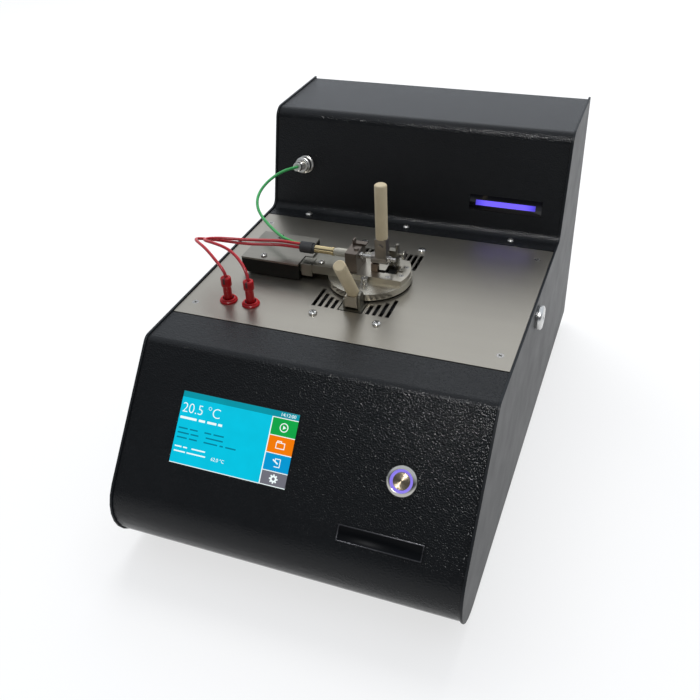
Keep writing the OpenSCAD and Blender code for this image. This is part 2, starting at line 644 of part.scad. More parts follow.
module hinge_cover() color(steel) at_cup() difference() {
    union() {
        span([house_x0, house_y0, house_top - cover_t], [house_x1, house_y1, house_top]);
        span([house_x1 - 1, -2, house_top - cover_t], [house_x1 + 6.5, 14, house_top]);
    }
    for (y = cover_screw_y) translate([cover_screw_x, y, house_top - 8])
        cylinder(r = lid_screw_r + screw_fit, h = 12);
}
// Steel arm from the housing to the lid disc, with the clamp block at its root
module lid_arm() color(steel) at_cup() difference() {
    union() {
        span([house_x1 - 12, arm_y0, guide_z], [-17.2, arm_y1, guide_z + arm_t - cover_t]);
        span([house_x1 + 0.8, arm_y0 - 0.6, guide_z - 3.4], [-46.6, -2.6, arm_top]);
        span([-46, arm_y0, guide_z], [-17.2, arm_y1, arm_top]);
    }
    for (y = [-8, 12]) translate([-40, y, guide_z - 5]) cylinder(r = lid_screw_r + screw_fit, h = 20);
}

// Lid disc and what is fixed on it

tip_x = 18.4;
tip_y0 = -6;
tip_y1 = 6;
port_x = 2;
port_y = -19.1;
port_r = 3.4;
guide_y0 = -14.2;
guide_y1 = 20;
plate_y0 = -8;
plate_y1 = 8;
plate_x0 = -3;
plate_x1 = 21.5;
slide_gap = 0.25;
plate_t = 1.4;
guide_screw_places = [[18.3, 10.5], [19.3, -9.8], [29.4, -5], [29.4, 9], [-12, -11], [-12, 17]];
module lid_disc() color(steel) at_cup() difference() {
    translate([0, 0, lid_z]) cylinder(r = lid_r, h = lid_t, $fn = 96);
    span([tip_x - 2.9, tip_y0, 0], [tip_x + 2.9, tip_y1, 20]);
    translate([port_x, port_y, 0]) cylinder(r = 1.3, h = 20);
    for (p = guide_screw_places) translate([p[0], p[1], guide_z - 3]) cylinder(r = lid_screw_r, h = 10);
}
module guide_plate() color(steel) at_cup() difference() {
    intersection() {
        translate([0, 0, guide_z]) cylinder(r = lid_r - 0.6, h = guide_t, $fn = 96);
        span([-17, guide_y0, 0], [50, guide_y1, 30]);
    }
    // Channel for the shutter plate
    span([plate_x0 - slide_gap, plate_y0 - slide_gap, guide_z - 1],
        [plate_x1 + shutter_travel + slide_gap, plate_y1 + slide_gap,
            guide_z + plate_t + 2 * slide_gap]);
    // Window for the igniter, slot for the follower, and a narrow sight slot
    span([tip_x - 4.4, -4.5, 0], [tip_x + 6.6, 9, 30]);
    span([tip_x + 6, -0.5, 0], [tip_x + 10.4, 1.7, 30]);
    span([follow_x - 2.2, shaft_y - 2.2, 0], [follow_x + 2.2 + shutter_travel, shaft_y + 2.2, 30]);
    for (p = guide_screw_places) translate([p[0], p[1], 0]) {
        cylinder(r = lid_screw_r, h = 20);
        translate([0, 0, guide_top - 1.6]) cylinder(r = 2.1, h = 5);
    }
}
module lid_screws() color(chrome) at_cup() {
    for (p = guide_screw_places) translate([p[0], p[1], guide_top - 1.6]) difference() {
        union() {
            cylinder(r = 2, h = 1.4);
            translate([0, 0, -5]) cylinder(r = lid_screw_r - 0.05, h = 5 + eps);
        }
        translate([0, 0, 0.6]) cylinder(r = 1, h = 2, $fn = 6);
    }
    for (y = cover_screw_y) translate([cover_screw_x, y, house_top])
        pan_screw(2.7, 1.8, lid_screw_r, cover_t);
    for (y = [-8, 12]) translate([-40, y, arm_top]) pan_screw(2.6, 1.6, lid_screw_r, arm_t);
}
module filler_port() color(chrome) at_cup() translate([port_x, port_y, guide_z]) difference() {
    union() {
        cylinder(r = port_r, h = 1.2);
        cylinder(r = port_r - 0.5, h = 5.8);
    }
    translate([0, 0, -1]) cylinder(r = 1.3, h = 10);
    translate([0, 0, 3.4]) cylinder(r1 = 1.3, r2 = 2.4, h = 2.5);
}
bracket_x0 = -17;
bracket_x1 = -7;
bracket_top = 30;
module shaft_bracket() color([0.5, 0.47, 0.44]) at_cup() difference() {
    union() {
        span([bracket_x0, -12, guide_top], [bracket_x1, 10, bracket_top]);
        span([bracket_x0 + 1, 4, bracket_top - eps], [bracket_x1 + 3, 9, bracket_top + 1.4]);
        span([bracket_x0 + 1, 4, bracket_top - eps], [bracket_x0 + 2.4, 9, bracket_top + 4]);
        translate([bracket_x1 - 3, -3, bracket_top]) cylinder(r = 2.1, h = 1.2);
    }
    translate([0, shaft_y, shaft_z]) rod_x(bracket_x0 - 1, bracket_x1 + 1, shaft_r + run_fit);
    span([bracket_x0 - 1, 0.8, guide_top + 3], [bracket_x1 + 1, 2, bracket_top - 2.4]);
}
stop_y = 12.5;
module stop_bracket() color(steel) at_cup() difference() {
    union() {
        span([12.4, stop_y, guide_top], [20.4, stop_y + 5.5, 24]);
        span([18.8, stop_y, 24 - eps], [21, stop_y + 3, 30]);
        translate([0, stop_y + 2.7, 20]) rod_x(20, 24.6, 1.2);
        translate([0, stop_y + 2.7, 20]) rod_x(24.5, 25.8, 3.6);
    }
}

// Igniter along the shaft's axis: rubber boot, brass tube and ceramic insulator

boot_r = 4.8;
tube_x1 = -31;
module at_shaft() at_cup() translate([0, shaft_y, shaft_z]) children();
module igniter_boot() color([0.04, 0.04, 0.04]) at_shaft() {
    rod_x(boot_x0, boot_x1 - 2, boot_r);
    rod_x(boot_x1 - 2.2, boot_x1, boot_r - 0.9);
}
module igniter_tube() color([0.75, 0.62, 0.35]) at_shaft() {
    rod_x(boot_x1, tube_x1, 3.3);
    rod_x(tube_x1 - 0.4, tube_x1 + 1.2, 3.8);
}
module igniter_insulator() color([0.85, 0.82, 0.74]) at_shaft() {
    rod_x(tube_x1 + 1.2, tube_x1 + 4, 3);
    rod_x(tube_x1 + 3.8, bracket_x0, 3.6);
}

// Turning group: shaft with igniter tip, cam hub and grip

hub_x0 = 3.8;
hub_x1 = 17.2;
hub_r = 4.6;
post_x = 12.4;
boss_top = 18.8;
boss_w = 9.6;
boss_d = 8.6;
tip_reach = 14.2;
tip_r = 1.2;
module igniter_shaft() color(chrome) at_shaft() {
    rod_x(bracket_x0 + 0.4, 24, shaft_r);
    rod_x(bracket_x1 + 0.2, bracket_x1 + 2.4, 3);
    rod_x(hub_x1 + 0.1, tip_x + 1.4, 2.8);
    rotate([lever_swing, 0, 0]) translate([tip_x, 0, -tip_reach]) cylinder(r = tip_r, h = tip_reach);
}
follow_x = 6;
cam_steps = 14;
follow_pin_r = 1;
groove_depth = 1.9;
module cam_hub() color([0.4, 0.38, 0.36]) at_shaft() difference() {
    union() {
        rod_x(hub_x0, hub_x1, hub_r);
        span([hub_x1 - boss_w, -boss_d / 2, 0], [hub_x1, boss_d / 2, boss_top]);
        translate([hub_x1 - boss_w / 2, 0.5 - boss_d / 2, 12.5]) rotate([90, 0, 0]) cylinder(r = 2, h = 1.8);
    }
    rod_x(-5, 40, shaft_r);
    // Sloping groove that pushes the shutter sideways as the hub turns
    for (k = [0:cam_steps]) let (f = k / cam_steps) rotate([f * lever_swing, 0, 0])
        translate([follow_x + f * shutter_travel, 0, -hub_r - 1])
            cylinder(r = follow_pin_r + 0.4, h = groove_depth + 1);
}
module lever_grip() color([0.72, 0.68, 0.55]) at_shaft() translate([post_x, 0, boss_top])
    grip(grip_l);
module grip(l) {
    cylinder(r = grip_r, h = l - 0.8);
    translate([0, 0, l - 0.8]) cylinder(r1 = grip_r, r2 = grip_r - 0.8, h = 0.8);
}

// Shutter

module shutter_plate() color(steel) at_cup() difference() {
    span([plate_x0, plate_y0, guide_z + slide_gap],
        [plate_x1, plate_y1, guide_z + slide_gap + plate_t]);
    span([tip_x - 2.9 - shutter_travel - 0.1, tip_y0, 0],
        [tip_x + 2.9 - shutter_travel - 0.1, tip_y1, 20]);
    translate([follow_x, shaft_y, 0]) cylinder(r = 1.4, h = 20);
}
follow_top = shaft_z - hub_r - 0.5;
module shutter_follower() color([0.7, 0.5, 0.35]) at_cup() translate([follow_x, shaft_y, 0]) {
    translate([0, 0, guide_z + slide_gap]) cylinder(r = 1.4, h = 2);
    translate([0, 0, guide_z + slide_gap + plate_t]) cylinder(r = 1.9, h = guide_top - guide_z);
    span([-2.8, -2.6, guide_top + 0.3], [2.8, 2.6, follow_top]);
    translate([0, 0, follow_top - eps])
        cylinder(r = follow_pin_r, h = shaft_z - hub_r + groove_depth - 0.4 - follow_top);
}

// Latch at the front of the lid

latch_y = -43.3;
latch_z = 5.2;
latch_w = 10.2;
// Cheeks of the base, either side of the lever
cheek_x = latch_x + latch_w / 2;
cheek_gap = 0.3;
cheek_t = 2.2;
latch_pin_r = 1.5;
grip_tilt = 33.4;
grip_foot = [-40.7, 11];
module latch_base() color(steel) at_cup() difference() {
    union() {
        span([latch_x - latch_cut_w / 2, -latch_cut_y + 1, -sheet_t],
            [latch_x + latch_cut_w / 2 - 2, -block_r - 1.4, 0]);
        span([latch_x - 6, -block_r - 11, insulation_top],
            [latch_x + 6, -block_r - 4, -sheet_t + eps]);
        span([cheek_x + cheek_gap, latch_y - 3.7, -eps], [cheek_x + cheek_t, latch_y + 4.8, 11]);
        translate([0, latch_y + 0.5, 11]) rod_x(cheek_x + cheek_gap, cheek_x + cheek_t, 4.2);
        span([cheek_x - latch_w - cheek_t, latch_y - 3.7, -eps],
            [cheek_x - latch_w - cheek_gap, latch_y + 3.7, 8.6]);
    }
    translate([0, latch_y, latch_z]) rod_x(-20, 20, latch_pin_r);
}
module latch_pin() color(chrome) at_cup() translate([0, latch_y, latch_z])
    rod_x(cheek_x - latch_w - cheek_t, cheek_x + cheek_t, latch_pin_r);
module latch_lever() color([0.62, 0.58, 0.52]) at_cup() difference() {
    union() {
        span([latch_x - latch_w / 2, latch_y - 5.4, 3.4], [latch_x + latch_w / 2, latch_y + 4.9, 12.7]);
        translate([0, latch_y, latch_z]) rod_x(latch_x - latch_w / 2, latch_x + latch_w / 2, 5);
        span([latch_x - 3, latch_y, 4], [latch_x + 3, -lid_r - 0.4, 8.4]);
    }
    at_grip() cylinder(r = grip_r, h = 20);
    translate([0, latch_y, latch_z]) rod_x(-20, 20, latch_pin_r + run_fit);
}
module at_grip() translate([latch_x, grip_foot[0], grip_foot[1]]) rotate([grip_tilt, 0, 0]) children();
module latch_grip() color([0.76, 0.72, 0.6]) at_cup() at_grip() grip(latch_grip_l);

// Inside the case

inside_z = floor_z + sheet_t;
board_w = 110;
board_d = 80;
board_t = 1.6;
board_lift = 8;
board_x = -case_w / 2 + 15;
board_back = 30;
board_edge = 5;
chip_w = 30;
chip_h = 4;
relay_w = 20;
relay_h = 9;
supply_w = 100;
supply_d = 60;
supply_h = 32;
supply_back = 70;
module control_board() color([0.05, 0.35, 0.15])
    translate([board_x, plate_front_y + board_back, inside_z]) {
        translate([0, 0, board_lift]) cube([board_w, board_d, board_t]);
        for (x = [board_edge, board_w - board_edge], y = [board_edge, board_d - board_edge])
            translate([x, y, 0]) cylinder(r = 3, h = board_lift);
        translate([chip_w / 2, chip_w / 3, board_lift + board_t]) cube([chip_w, chip_w, chip_h]);
        translate([board_w - 2.25 * relay_w, relay_w, board_lift + board_t])
            cube([relay_w, relay_w, relay_h]);
    }
module power_supply() color([0.7, 0.7, 0.72])
    translate([inlet_x - supply_w + 22, panel_y - supply_back - supply_d, inside_z])
        cube([supply_w, supply_d, supply_h]);
// Power inlet with a rocker switch above it
rocker_z = 13;
rocker_w = 18.4;
rocker_l = 11.4;
rocker_tilt = 7;
rocker_depth = 4;
module at_inlet() translate([inlet_x, panel_y, inlet_z]) rotate([90, 0, 180]) children();
module power_inlet() color([0.04, 0.04, 0.04]) at_inlet() {
    difference() {
        union() {
            translate([-inlet_w / 2 - 2, -inlet_h / 2 - 2, 0]) cube([inlet_w + 4, inlet_h + 4, 2]);
            translate([-inlet_w / 2 + 0.2, -inlet_h / 2 + 0.2, -24])
                cube([inlet_w - 0.4, inlet_h - 0.4, 24 + eps]);
        }
        translate([-11.5, -20, -16]) cube([23, 17, 20]);
        translate([-rocker_w / 2 - 0.3, rocker_z - rocker_l / 2 - 0.9, -9])
            cube([rocker_w + 0.6, rocker_l + 1.8, 20]);
        translate([0, rocker_z, -rocker_depth])
            rod_x(-rocker_w / 2 - 1.2, rocker_w / 2 + 1.2, 1 + run_fit);
    }
    for (p = [[-7, -14], [7, -14], [0, -8]])
        translate([p[0] - 1, p[1] - 2, -16 - eps]) cube([2, 4, 12]);
}
module inlet_switch() color([0.7, 0.1, 0.1]) at_inlet() translate([0, rocker_z, -rocker_depth])
    rotate([-rocker_tilt, 0, 0]) {
        along_x(-rocker_w / 2, rocker_w) polygon([[-rocker_l / 2, 1], [rocker_l / 2, 1],
            [rocker_l / 2, 5.4], [0, 3.9], [-rocker_l / 2, 5.4]]);
        rod_x(-rocker_w / 2 - 0.8, rocker_w / 2 + 0.8, 1);
        along_x(-rocker_w / 2, rocker_w) polygon([[-2, -1], [2, -1], [2, 1 + eps], [-2, 1 + eps]]);
    }
fan_t = 25;
fan_hub_r = 12;
fan_pin_r = 2;
module at_fan() translate([fan_x, panel_y - sheet_t, fan_z]) rotate([90, 0, 0]) children();
module fan_frame() color([0.05, 0.05, 0.05]) at_fan() difference() {
    translate([-fan_size / 2, -fan_size / 2, 0]) cube([fan_size, fan_size, fan_t]);
    translate([0, 0, 2]) cylinder(r = fan_size / 2 - 1.5, h = fan_t);
    translate([0, 0, -1]) difference() {
        cylinder(r = fan_size / 2 - 1.5, h = 5);
        cylinder(r = fan_hub_r, h = 5);
        for (a = [45, 135]) rotate([0, 0, a]) translate([-40, -2.5, 0]) cube([80, 5, 5]);
    }
    translate([0, 0, -1]) cylinder(r = fan_pin_r + run_fit, h = fan_t);
}
module fan_rotor() color([0.1, 0.1, 0.1]) at_fan() {
    translate([0, 0, 3]) cylinder(r = fan_hub_r, h = fan_t - 5);
    translate([0, 0, 0.3]) cylinder(r = fan_pin_r, h = 3);
    for (a = [0:360 / 7:359]) rotate([0, 0, a]) translate([fan_hub_r - 1, 0, fan_t / 2 + 0.5])
        rotate([35, 0, 0]) translate([0, -0.8, -8]) cube([fan_size / 2 - 15, 1.6, 16]);
}

side_plates();
front_cover();
rear_cover();
deck_plate();
deck_rails();
base_plate();
rear_panel();
rubber_feet();
case_screws();
side_knob();
nameplate();
display_glass();
display_module();
button_housing();
button_cap();
light_window();
signal_socket();
signal_plug();
coupling_ring();
lead_sockets();
lead_plugs();
red_lead_1();
red_lead_2();
green_lead();
block_screws();
cup_block();
sample_cup();
cup_seal();
block_heater();
insulation_ring();
heat_sink();
hinge_bracket();
hinge_pin();
hinge_block();
hinge_cover();
lid_arm();
lid_disc();
guide_plate();
lid_screws();
filler_port();
shaft_bracket();
stop_bracket();
igniter_boot();
igniter_tube();
igniter_insulator();
igniter_shaft();
cam_hub();
lever_grip();
shutter_plate();
shutter_follower();
latch_base();
latch_pin();
latch_lever();
latch_grip();
control_board();
power_supply();
power_inlet();
inlet_switch();
fan_frame();
fan_rotor();
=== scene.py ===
import json
import math
import bpy
from mathutils import Matrix, Vector


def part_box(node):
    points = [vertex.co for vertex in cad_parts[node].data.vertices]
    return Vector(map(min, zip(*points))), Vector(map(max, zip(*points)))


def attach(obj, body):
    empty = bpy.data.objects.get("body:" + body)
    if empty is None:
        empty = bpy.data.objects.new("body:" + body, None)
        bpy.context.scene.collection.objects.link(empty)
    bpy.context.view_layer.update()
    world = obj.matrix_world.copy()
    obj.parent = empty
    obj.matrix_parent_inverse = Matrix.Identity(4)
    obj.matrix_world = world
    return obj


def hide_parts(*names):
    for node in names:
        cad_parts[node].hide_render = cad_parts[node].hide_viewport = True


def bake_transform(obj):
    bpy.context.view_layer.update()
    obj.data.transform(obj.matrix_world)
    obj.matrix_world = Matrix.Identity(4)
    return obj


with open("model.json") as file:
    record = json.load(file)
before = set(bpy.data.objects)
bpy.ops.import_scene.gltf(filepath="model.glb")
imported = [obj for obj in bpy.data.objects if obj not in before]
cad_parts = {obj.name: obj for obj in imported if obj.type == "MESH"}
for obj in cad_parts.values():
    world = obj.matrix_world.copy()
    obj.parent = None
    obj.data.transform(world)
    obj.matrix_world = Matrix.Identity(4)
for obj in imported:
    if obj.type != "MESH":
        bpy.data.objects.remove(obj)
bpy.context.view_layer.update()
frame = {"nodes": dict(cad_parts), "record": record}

nodes = frame["nodes"]
body_of = {n: body for body, members in frame["record"]["behaviour"]["bodies"].items() for n in members}
MM = 0.001

# The photograph was taken from the front right, a little over half a metre
# above the bench, with a normal lens. The middle of the lens is the middle
# of the picture.
camera = bpy.data.objects.new("camera", bpy.data.cameras.new("camera"))
camera.data.sensor_width = 36
camera.data.lens = 42.896
camera.location = (0.214166, -0.573142, 0.520879)
camera.rotation_euler = [math.radians(a) for a in (54.3509, 2.5547, 20.7738)]
bpy.context.scene.collection.objects.link(camera)
bpy.context.scene.camera = camera

# Three test leads in soft rubber insulation: two red ones from the igniter's
# boot to the plugs on the deck, and a green one from the tower's connector to
# the boot. Each is a plain round wire that keeps the set of its last bend.
cup_lo, cup_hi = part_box("sample_cup")
deck_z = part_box("deck_plate")[1][2]
cup_axis = Matrix.Translation(((cup_lo[0] + cup_hi[0]) / 2, (cup_lo[1] + cup_hi[1]) / 2, deck_z))
lead_d = 2.6
plug_x, plug_y, plug_top = (-101.4, -81.1), -62.9, 22
boot_x = -60
red_route_1 = [
    (boot_x, -5, 24.9), (-63, -5, 24.9), (-73.2, -4.8, 24.7), (-81.4, -5.5, 24.7), (-93.2, -9, 25.1),
    (-103.9, -12, 25.4), (-115.6, -13.1, 25.4), (-125.2, -14.3, 26), (-132.6, -16.6, 27.2),
    (-138.8, -20, 28.9), (-142.5, -23.1, 30.4), (-144.1, -25.4, 31.5), (-144.7, -27.4, 32.4),
    (-144.6, -29.6, 33.3), (-143.6, -32.3, 34.4), (-140.9, -36.1, 35.7), (-135.2, -41.5, 37.1),
    (-127.4, -47.3, 37.5), (-120, -52.4, 36.4), (-112.2, -57.4, 33.6), (-105.3, -61.3, 29.9),
    (-103.1, -62.4, 28), (-102, -62.8, 26.4), (plug_x[0], plug_y, 24.6), (plug_x[0], plug_y, plug_top)]
red_route_2 = [
    (boot_x, -4, 27.9), (-63, -4, 27.9), (-74.3, -4, 28), (-83.4, -4.9, 28), (-95.4, -7.8, 28.1),
    (-109, -11.1, 28.3), (-120.5, -13.9, 28.9), (-126.9, -16.4, 29.7), (-130.7, -18.7, 30.5),
    (-133, -21.1, 31.3), (-134.5, -23.7, 32.3), (-135.3, -26.8, 33.5), (-135.3, -30, 34.7),
    (-134.6, -32.8, 35.9), (-133.2, -35.3, 36.9), (-130.7, -37.8, 37.9), (-126.3, -40.5, 39.1),
    (-119, -43.6, 40.1), (-109.8, -46.6, 40.2), (-102.1, -49.5, 39.2), (-95, -53, 37.1),
    (-88.4, -57.2, 34.1), (-84.6, -60, 31.3), (-82.7, -61.6, 29), (-81.6, -62.4, 26.8),
    (plug_x[1], plug_y, 24.6), (plug_x[1], plug_y, plug_top)]
green_route = [
    (-107.85, 100.94, 47.52), (-107.85, 98.04, 48.31), (-108.9, 95.1, 48.9), (-111.5, 91, 49.2),
    (-115.2, 86, 48.7), (-120, 78, 47), (-124, 68, 44), (-126, 57.5, 40), (-124.5, 47.5, 36.5),
    (-120, 38.5, 33), (-113.5, 31, 30.5), (-105.5, 23.5, 29), (-97, 16.5, 27.8), (-88, 9.5, 27.2),
    (-79, 3.4, 27), (-70.5, 0.4, 26.6), (-63.5, -0.8, 26.2), (boot_x, -0.8, 26.2)]


class Value:
    """A socket's value, used in sums as a number is."""

    def __init__(self, nodes, socket):
        self.nodes, self.socket = nodes, socket

    def sum(self, operation, a, b):
        return self.nodes.node("ShaderNodeMath", {"operation": operation}, {0: a, 1: b})

    def __add__(self, other):
        return self.sum("ADD", self, other)

    def __radd__(self, other):
        return self.sum("ADD", other, self)

    def __mul__(self, other):
        return self.sum("MULTIPLY", self, other)

    def __rmul__(self, other):
        return self.sum("MULTIPLY", other, self)


class Nodes:
    """A tree of shader nodes, added one by one."""

    def __init__(self, tree):
        self.tree = tree

    def node(self, kind, settings=(), sockets=(), out=0):
        """A new node's output: its settings are set first, then its sockets."""
        node = self.tree.nodes.new(kind)
        for name, value in dict(settings).items():
            setattr(node, name, value)
        for key, value in dict(sockets).items():
            self.put(node.inputs[key], value)
        return Value(self, node.outputs[out])

    def put(self, socket, value):
        if isinstance(value, Value):
            self.tree.links.new(value.socket, socket)
        else:
            socket.default_value = value

    def between(self, value, low, high, a, b):
        """Numbers from low to high, spread over a to b."""
        return self.node("ShaderNodeMapRange", (), {0: value, 1: low, 2: high, 3: a, 4: b})

    def blend(self, factor, a, b):
        return self.node("ShaderNodeMix", {"data_type": "RGBA"}, {0: factor, 6: a, 7: b}, out=2)


class Finish(Nodes):
    """A procedural material."""

    def __init__(self, name, colour, rough=0.5, metal=0.0, **sockets):
        self.data = bpy.data.materials.new(name)
        self.data.use_nodes = True
        super().__init__(self.data.node_tree)
        self.shader = self.tree.nodes["Principled BSDF"]
        self.colour = colour
        self.set("Base Color", (*colour, 1))
        self.set("Roughness", rough)
        self.set("Metallic", metal)
        for socket, value in sockets.items():
            self.set(socket.replace("_", " "), value)

    def set(self, socket, value):
        self.put(self.shader.inputs[socket], value)

    def place(self, scale=(1, 1, 1), move=(0, 0, 0), turn=(0, 0, 0)):
        """The piece's own coordinates, moved, turned and stretched."""
        own = self.node("ShaderNodeTexCoord", out="Object")
        return self.node("ShaderNodeMapping", (), {0: own, 1: move, 2: turn, 3: scale})

    def noise(self, scale, detail=2.0, stretch=(1, 1, 1)):
        vector = self.place(stretch)
        return self.node("ShaderNodeTexNoise", (), {"Vector": vector, "Scale": scale, "Detail": detail})

    def rings(self, at, pitch):
        """Fine turning marks round the Z axis of a place, at a pitch in mm."""
        back = at.inverted()
        own = self.place(move=back.translation, turn=back.to_euler())
        scale = math.pi / 10 / (pitch * MM)
        return self.node("ShaderNodeTexWave", {"wave_type": "RINGS", "rings_direction": "Z"},
                         {"Vector": own, "Scale": scale, "Distortion": 0.6, "Detail": 2.0}, out=1)

    def shade(self, factor, dark, light):
        """The finish's own colour, from dark times to light times as bright."""
        darker, lighter = ((*(c * times for c in self.colour), 1) for times in (dark, light))
        return self.blend(factor, darker, lighter)

    def mottle(self, scale, dark, light, detail=2.0):
        """A colour that varies a little over the surface, as bare stock does."""
        self.set("Base Color", self.shade(self.noise(scale, detail), dark, light))

    def wear(self, scale, low, high, detail=2.0):
        """A roughness from low to high, as handling leaves it. Most of a noise lies between 0.3 and 0.7."""
        self.set("Roughness", self.between(self.noise(scale, detail), 0.3, 0.7, low, high))

    def relief(self, height, distance, strength=1.0, edge=0.0):
        """Bumps of that height in mm, on edges rounded to that radius in mm."""
        sockets = {"Height": height, "Distance": distance * MM, "Strength": strength}
        if edge:
            sockets["Normal"] = self.node("ShaderNodeBevel", {"samples": 4}, {"Radius": edge * MM})
        self.set("Normal", self.node("ShaderNodeBump", (), sockets))


def paint(finish, *targets):
    """Gives pieces, or CAD nodes by their names, one finish all over."""
    for target in targets:
        target = nodes[target] if isinstance(target, str) else target
        target.data.materials.clear()
        target.data.materials.append(finish.data)


def stand_in(piece, node):
    """A piece takes a CAD node's place and rides on its body."""
    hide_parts(node)
    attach(piece, body_of[node])


def smooth_line(points, steps=4):
    """A smooth line through all the points of a route."""
    line = []
    for i in range(len(points) - 1):
        a, b, c, d = (Vector(points[max(0, min(len(points) - 1, k))]) for k in (i - 1, i, i + 1, i + 2))
        for k in range(steps):
            t = k / steps
            line.append(0.5 * (2 * b + (c - a) * t + (2 * a - 5 * b + 4 * c - d) * t * t
                               + (3 * b - a - 3 * c + d) * t ** 3))
    return line + [Vector(points[-1])]


def wire(name, route):
    """A round wire along a route in mm about the cup's axis, and its middle line."""
    line = [cup_axis @ (p * MM) for p in smooth_line(route)]
    curve = bpy.data.curves.new(name, "CURVE")
    curve.dimensions = "3D"
    curve.bevel_depth = lead_d / 2 * MM
    curve.bevel_resolution = 6
    curve.use_fill_caps = True
    spline = curve.splines.new("POLY")
    spline.points.add(len(line) - 1)
    for point, p in zip(spline.points, line):
        point.co = (*p, 1)
    piece = bpy.data.objects.new(name, curve)
    bpy.context.scene.collection.objects.link(piece)
    bpy.ops.object.select_all(action="DESELECT")
    piece.select_set(True)
    bpy.context.view_layer.objects.active = piece
    bpy.ops.object.convert(target="MESH")
    bpy.ops.object.shade_smooth()
    return bpy.context.object, line


red_rubber = Finish("red lead rubber", (0.47, 0.006, 0.016), 0.38)
red_rubber.mottle(160, 0.75, 1.15)
red_rubber.relief(red_rubber.noise(1400), 0.05, 0.5)
green_rubber = Finish("green lead rubber", (0.035, 0.36, 0.085), 0.4)
green_rubber.mottle(160, 0.75, 1.15)
green_rubber.relief(green_rubber.noise(1400), 0.05, 0.5)
for name, node, route, finish in (("red_wire_1", "red_lead_1", red_route_1, red_rubber),
                                  ("red_wire_2", "red_lead_2", red_route_2, red_rubber),
                                  ("green_wire", "green_lead", green_route, green_rubber)):
    piece, line = wire(name, route)
    paint(finish, piece)
    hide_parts(node)
    length = sum((b - a).length for a, b in zip(line, line[1:]))
    on_case, in_boot = (line[0], line[-1]) if node == "green_lead" else (line[-1], line[0])
    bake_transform(piece)

# Case sheets, folded from steel and sprayed with a coarse-grained anthracite
# powder coat, whose grain shows as small sparks where light grazes it. The
# outer side plates were sprayed thinner and lie smooth.
coat = Finish("anthracite powder coat", (0.012, 0.0128, 0.0138), 0.4, Specular_IOR_Level=0.17)
grain = coat.noise(1000, 2)
cells = coat.node("ShaderNodeTexVoronoi", {"feature": "SMOOTH_F1"},
                  {"Vector": coat.place(), "Scale": 900, "Smoothness": 0.4})
coat.mottle(25, 0.85, 1.2, 3)
coat.set("Roughness", coat.between(grain, 0.35, 0.65, 0.14, 0.22))
coat.relief(grain * 0.6 + cells * 0.9, 0.26, 1.0)
smooth_coat = Finish("smooth powder coat", (0.008, 0.010, 0.012), 0.3, Specular_IOR_Level=0.22)
smooth_coat.mottle(25, 0.85, 1.2, 3)
smooth_coat.wear(40, 0.4, 0.46, 3)
smooth_coat.relief(smooth_coat.noise(420, 3), 0.05, 0.5)
weld_gap = 0.002


def softened(name, node, radius, finish):
    """Puts a copy in a CAD node's place, its triangles joined and its edges rounded to a radius in mm."""
    piece = bpy.data.objects.new(name, nodes[node].data.copy())
    bpy.context.scene.collection.objects.link(piece)
    bpy.ops.object.select_all(action="DESELECT")
    piece.select_set(True)
    bpy.context.view_layer.objects.active = piece
    bpy.ops.object.mode_set(mode="EDIT")
    bpy.ops.mesh.select_all(action="SELECT")
    bpy.ops.mesh.remove_doubles(threshold=weld_gap * MM)
    bpy.ops.mesh.dissolve_limited(angle_limit=math.radians(1))
    bpy.ops.object.mode_set(mode="OBJECT")
    edges = piece.modifiers.new("edges", "BEVEL")
    edges.width = radius * MM
    edges.segments = 2
    edges.limit_method = "ANGLE"
    edges.angle_limit = math.radians(40)
    bpy.ops.object.modifier_apply(modifier="edges")
    bpy.ops.object.shade_smooth_by_angle(angle=math.radians(30))
    piece.modifiers.new("flats", "WEIGHTED_NORMAL").keep_sharp = True
    bpy.ops.object.modifier_apply(modifier="flats")
    paint(finish, piece)
    stand_in(piece, node)


softened("front_sheet", "front_cover", 0.3, coat)
softened("rear_sheet", "rear_cover", 0.3, coat)
softened("side_sheets", "side_plates", 0.4, smooth_coat)
paint(coat, "base_plate", "rear_panel")

# Deck plate: stainless sheet, held by small screws at its corners and brushed
# from side to side, which draws every reflection out towards the viewer.
brushed = Finish("brushed stainless", (0.37, 0.345, 0.298), 0.4, 1.0)
streaks = brushed.noise(1.0, 3, (20, 4000, 4000))
wide = brushed.noise(1.0, 2, (3, 90, 90))
brushed.set("Base Color", brushed.shade(wide * 0.5 + streaks * 0.5, 0.93, 1.07))
brushed.set("Roughness", brushed.between(streaks, 0.3, 0.7, 0.31, 0.39))
brushed.relief(streaks, 0.05, 0.8)
paint(brushed, "deck_plate")

# Display: a colour touch screen behind a black-edged pane, flush in its window
# on the slope. The screen is lit, with a header, plain value lines, and four
# large keys with pictograms down its right side.
slope_start_y, slope_angle = -0.135519, math.radians(48.2)
slope = Matrix.Translation((0, slope_start_y, deck_z)) @ Matrix.Rotation(slope_angle, 4, "X")
screen_w, screen_h = 96.2, 55.1
screen = slope @ Matrix.Translation((-0.0484, -0.062, -0.0002))


def finished(name, at, angle=35, weld=False):
    """Turns the active piece's faces outwards, applies its place and shades it."""
    bpy.ops.object.mode_set(mode="EDIT")
    bpy.ops.mesh.select_all(action="SELECT")
    if weld:
        bpy.ops.mesh.remove_doubles(threshold=weld_gap * MM)
    bpy.ops.mesh.normals_make_consistent(inside=False)
    bpy.ops.object.mode_set(mode="OBJECT")
    piece = bpy.context.object
    piece.name = name
    piece.data.transform(at @ piece.matrix_world)
    piece.matrix_world = Matrix()
    bpy.ops.object.shade_smooth_by_angle(angle=math.radians(angle))
    return piece


